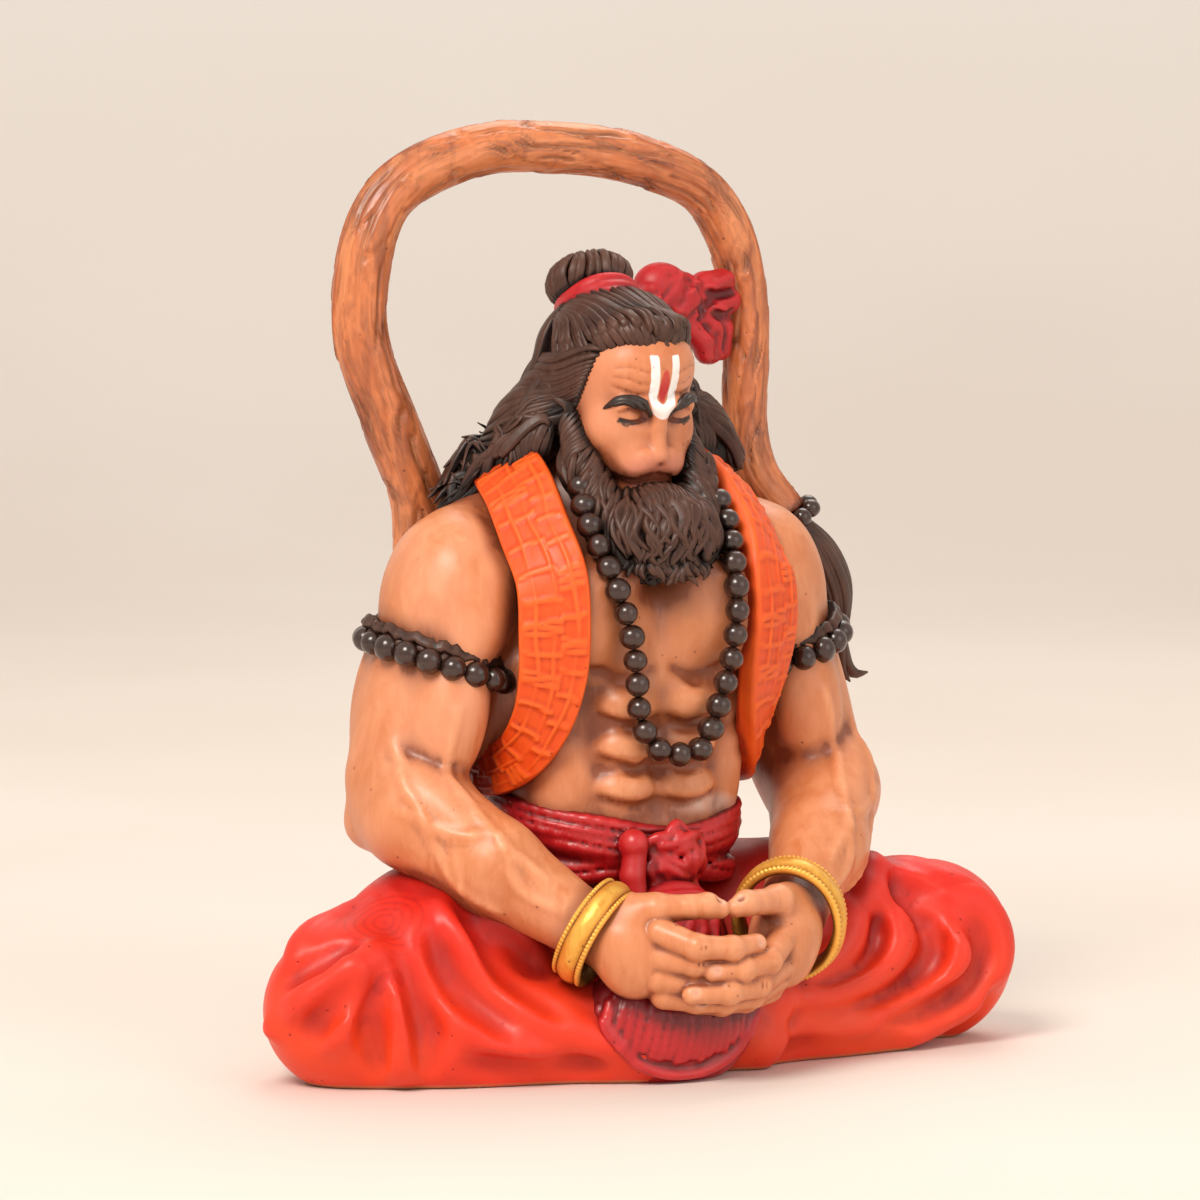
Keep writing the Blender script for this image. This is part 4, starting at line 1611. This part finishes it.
def brow_piece(clay, h):
    locks = []
    for s in SIDES:
        for rise, thick in ((0.0, 0.95), (0.75, 0.8), (-0.6, 0.7)):
            route = [(s * 1.9, -15.6, BROW_LINE - 1.3 + rise * 0.6), (s * 4.2, -15.8, BROW_LINE + 0.7 + rise),
                     (s * 7, -14.6, BROW_LINE + 1.6 + rise), (s * 9.6, -12.6, BROW_LINE + 0.5 + rise * 0.7),
                     (s * 11.2, -10.6, BROW_LINE - 1.4 + rise * 0.3)]
            line = clay.onto(h.all_at(smooth_line(route, 0.8)), 0.15)
            n = len(line)
            t = np.linspace(0, 1, n)
            locks.append((line, thick * np.sin(np.clip(0.12 + t * 0.9, 0, 1) * math.pi) ** 0.5))
    strand_piece("eyebrows", locks, BROW, lobes=5, sides=8, depth=0.14)


# The light and the floor

def build_stage():
    floor = bpy.data.materials.new("studio_paper")
    floor.use_nodes = True
    n = Nodes(floor.node_tree)
    shader = floor.node_tree.nodes["Principled BSDF"]
    place = n.place()
    mottle = n.noise(place, 3, 3, 0.5)
    height = n.height(place)
    paper = n.mix(n.span(height, 0.0, 0.4), rgb(218, 206, 196), rgb(250, 245, 239))
    n.feed(shader.inputs["Base Color"], n.tint(n.span(mottle, 0.3, 0.7), 0.3, paper, rgb(240, 234, 228)))
    shader.inputs["Roughness"].default_value = 0.75
    bm = bmesh.new()
    front, deep, wide, high, bend = 2.2, 1.1, 3.0, 2.2, 0.7
    edges = [bm.edges.new([bm.verts.new((x, -front, 0)) for x in (-wide, wide)])]
    steps = [(0, deep + front, 0)]
    for k in range(16):
        a0, a1 = math.pi / 2 * k / 16, math.pi / 2 * (k + 1) / 16
        steps.append((0, bend * (math.sin(a1) - math.sin(a0)), bend * (math.cos(a0) - math.cos(a1))))
    steps.append((0, 0, high))
    for step in steps:
        made = bmesh.ops.extrude_edge_only(bm, edges=edges)["geom"]
        verts = [g for g in made if isinstance(g, bmesh.types.BMVert)]
        edges = [g for g in made if isinstance(g, bmesh.types.BMEdge) and all(v in verts for v in g.verts)]
        bmesh.ops.translate(bm, vec=Vector(step), verts=verts)
    bmesh.ops.rotate(bm, verts=bm.verts, cent=(0, 0, 0),
                     matrix=Matrix.Rotation(VIEW_TURN, 3, "Z"))
    mesh = bpy.data.meshes.new("backdrop")
    bm.to_mesh(mesh)
    bm.free()
    for polygon in mesh.polygons:
        polygon.use_smooth = True
    mesh.materials.append(floor)
    backdrop = put("backdrop", mesh)


def build_lights():
    world = bpy.data.worlds.new("studio")
    world.use_nodes = True
    world.node_tree.nodes["Background"].inputs[0].default_value = rgb(255, 250, 244)
    world.node_tree.nodes["Background"].inputs[1].default_value = 0.72
    bpy.context.scene.world = world
    right = np.array([math.cos(VIEW_TURN), math.sin(VIEW_TURN), 0])
    ahead = np.array([math.sin(VIEW_TURN), -math.cos(VIEW_TURN), 0])
    aim = np.array([0, 0, 0.09])
    for name, across, near, high, size, power, tint in (
            ("key", -0.45, 0.95, 1.0, 0.6, 16.5, (255, 247, 238)),
            ("fill", 0.95, 0.8, 0.45, 0.9, 2.6, (255, 250, 246)),
            ("back", 0.2, -0.7, 1.0, 0.8, 5.0, (255, 250, 244))):
        lamp = bpy.data.lights.new(name, "AREA")
        lamp.shape = "DISK"
        lamp.size = size
        lamp.energy = power
        lamp.color = rgb(*tint)[:3]
        spot = aim + right * across + ahead * near + np.array([0, 0, high])
        put(name, lamp, spot, aim - spot)
    bpy.context.scene.view_settings.view_transform = "Standard"


# Masks of hollows and ridges, for the paint

def blur(field, sigma):
    """The field spread out by a bell curve of that many cells."""
    n = int(math.ceil(sigma * 2.5))
    kernel = np.exp(-0.5 * (np.arange(-n, n + 1) / sigma) ** 2)
    kernel = (kernel / kernel.sum()).astype(np.float32)
    for axis in range(3):
        padded = np.pad(field, [(n, n) if a == axis else (0, 0) for a in range(3)])
        total = np.zeros_like(field)
        for k, w in enumerate(kernel):
            spot = [slice(None)] * 3
            spot[axis] = slice(k, k + field.shape[axis])
            total += w * padded[tuple(spot)]
        field = total
    return field


def read(items, key, wide, kind=float):
    values = np.empty(len(items) * wide, kind)
    items.foreach_get(key, values)
    return values.reshape(-1, wide)


def closed_in():
    """A coarse grid of how full the space is around each place, and every mesh with its places."""
    low, high, cell = np.array([-100, -70, -8]), np.array([104, 50, 208]), 1.3
    count = np.ceil((high - low) / cell).astype(int)
    solid = np.zeros(count, np.float32)
    for clay in CLAYS:
        step = max(1, int(round(cell / clay.cell)))
        inside = np.argwhere(clay.field[::step, ::step, ::step] < 0) * step
        spot = ((clay.low + inside * clay.cell - low) / cell).astype(int)
        keep = (spot >= 0).all(axis=1) & (spot < count).all(axis=1)
        solid[tuple(spot[keep].T)] = 1
    meshes = []
    for obj in PIECES:
        co = read(obj.data.vertices, "co", 3) / MM + (0, 0, FLOOR)
        normal = read(obj.data.vertices, "normal", 3)
        meshes.append((obj.data, co, normal))
        spot = np.clip(((co - normal * cell * 0.8 - low) / cell).astype(int), 0, count - 1)
        solid[tuple(spot.T)] = 1
    grid = Clay(low, low + (count - 1) * cell, cell)
    grid.field = blur(solid, 2.6)
    return grid, meshes


def mark_hollows():
    """Gives every piece two masks: fine, from its own mesh, and deep, from how closed in a place is."""
    grid, meshes = closed_in()
    for mesh, co, normal in meshes:
        value, _ = grid.sample(co + normal * 2.2 - grid.cell / 2)
        deep = np.clip((value - 0.26) * 3.0, -1, 1)
        a, b = read(mesh.edges, "vertices", 2, np.int32).T
        n = len(co)

        def gathered(at_a, at_b):
            return np.bincount(a, at_b, n) + np.bincount(b, at_a, n)

        ties = np.maximum(np.bincount(a, minlength=n) + np.bincount(b, minlength=n), 1)
        total = np.column_stack([gathered(co[a, k], co[b, k]) for k in range(3)])
        long = np.linalg.norm(co[a] - co[b], axis=1)
        size = gathered(long, long) / ties
        ahead = ((total / ties[:, None] - co) * normal).sum(axis=1) / np.maximum(size, 1e-6)
        for _ in range(2):
            ahead = 0.5 * ahead + 0.5 * gathered(ahead[a], ahead[b]) / ties
        for label, values in (("fine", np.clip(ahead * 2.0, -1, 1)), ("deep", deep)):
            set_mark(mesh, label, values)


# Making the figure

def belly_marks(verts):
    """The pale streak over the belly, above the sash."""
    x, y, z = verts.T
    glow = np.exp(-((z - 57.5 + 0.012 * (x - 12) ** 2) / 2.4) ** 2) * np.exp(-((x - 13) / 9.0) ** 2)
    return {"belly_light": glow * (y < -5)}


def nail_marks(verts, nails):
    near = np.min([np.linalg.norm(verts - nail, axis=1) for nail in nails], axis=0)
    return {"nail": np.clip((1.7 - near) / 0.5, 0, 1)}


place_camera()
build_stage()
build_lights()

body = clay_piece("body", sculpt_body(), SKIN, belly_marks)
hands, nails = sculpt_hands()
clay_piece("hands", hands, SKIN, lambda verts: nail_marks(verts, nails))
head, head_frame, mouth = sculpt_head()
clay_piece("head", head, FACE, lambda verts: face_marks(verts, head_frame, mouth))
brow_piece(head, head_frame)

mass = clay_piece("hair_mass", sculpt_hair(), HAIR)
strand_piece("hair", head_locks(mass) + bun_locks(), HAIR)
strand_piece("mane", mane_locks(mass), HAIR)
mass = clay_piece("beard_mass", sculpt_beard(), HAIR)
strand_piece("beard", beard_locks(mass), HAIR)
clay_piece("hair_tie", sculpt_ribbon(), RIBBON)

make_tail()
strand_piece("tail_tuft", tuft_locks(), HAIR)
turns = [i / 9 * 2 * math.pi for i in range(9)]
make_beads("tail_beads", [(52.3 + 5.5 * math.cos(t), 14 + 5.5 * math.sin(t), 114.2 + 3 * math.cos(t))
                          for t in turns], TAIL_BEAD, BEADS)

clay_piece("trousers", sculpt_trousers(), RED)
sash = sculpt_sash(body)
sculpt_knot(sash)
clay_piece("sash", sash, SASH)
clay_piece("apron", sculpt_apron(), SASH)

make_shawl()
make_beads("necklace", smooth_line(NECKLACE_ROUTE, BEAD * 0.95), BEAD, BEADS)
bands = [p for s in SIDES for p in smooth_line(armband(s), ARM_BEAD * 0.96, closed=True)[:-1]]
make_beads("armbands", bands, ARM_BEAD, BEADS)
strand_piece("armband_cords", make_armband_cords(), HAIR)
make_bangles()

mark_hollows()
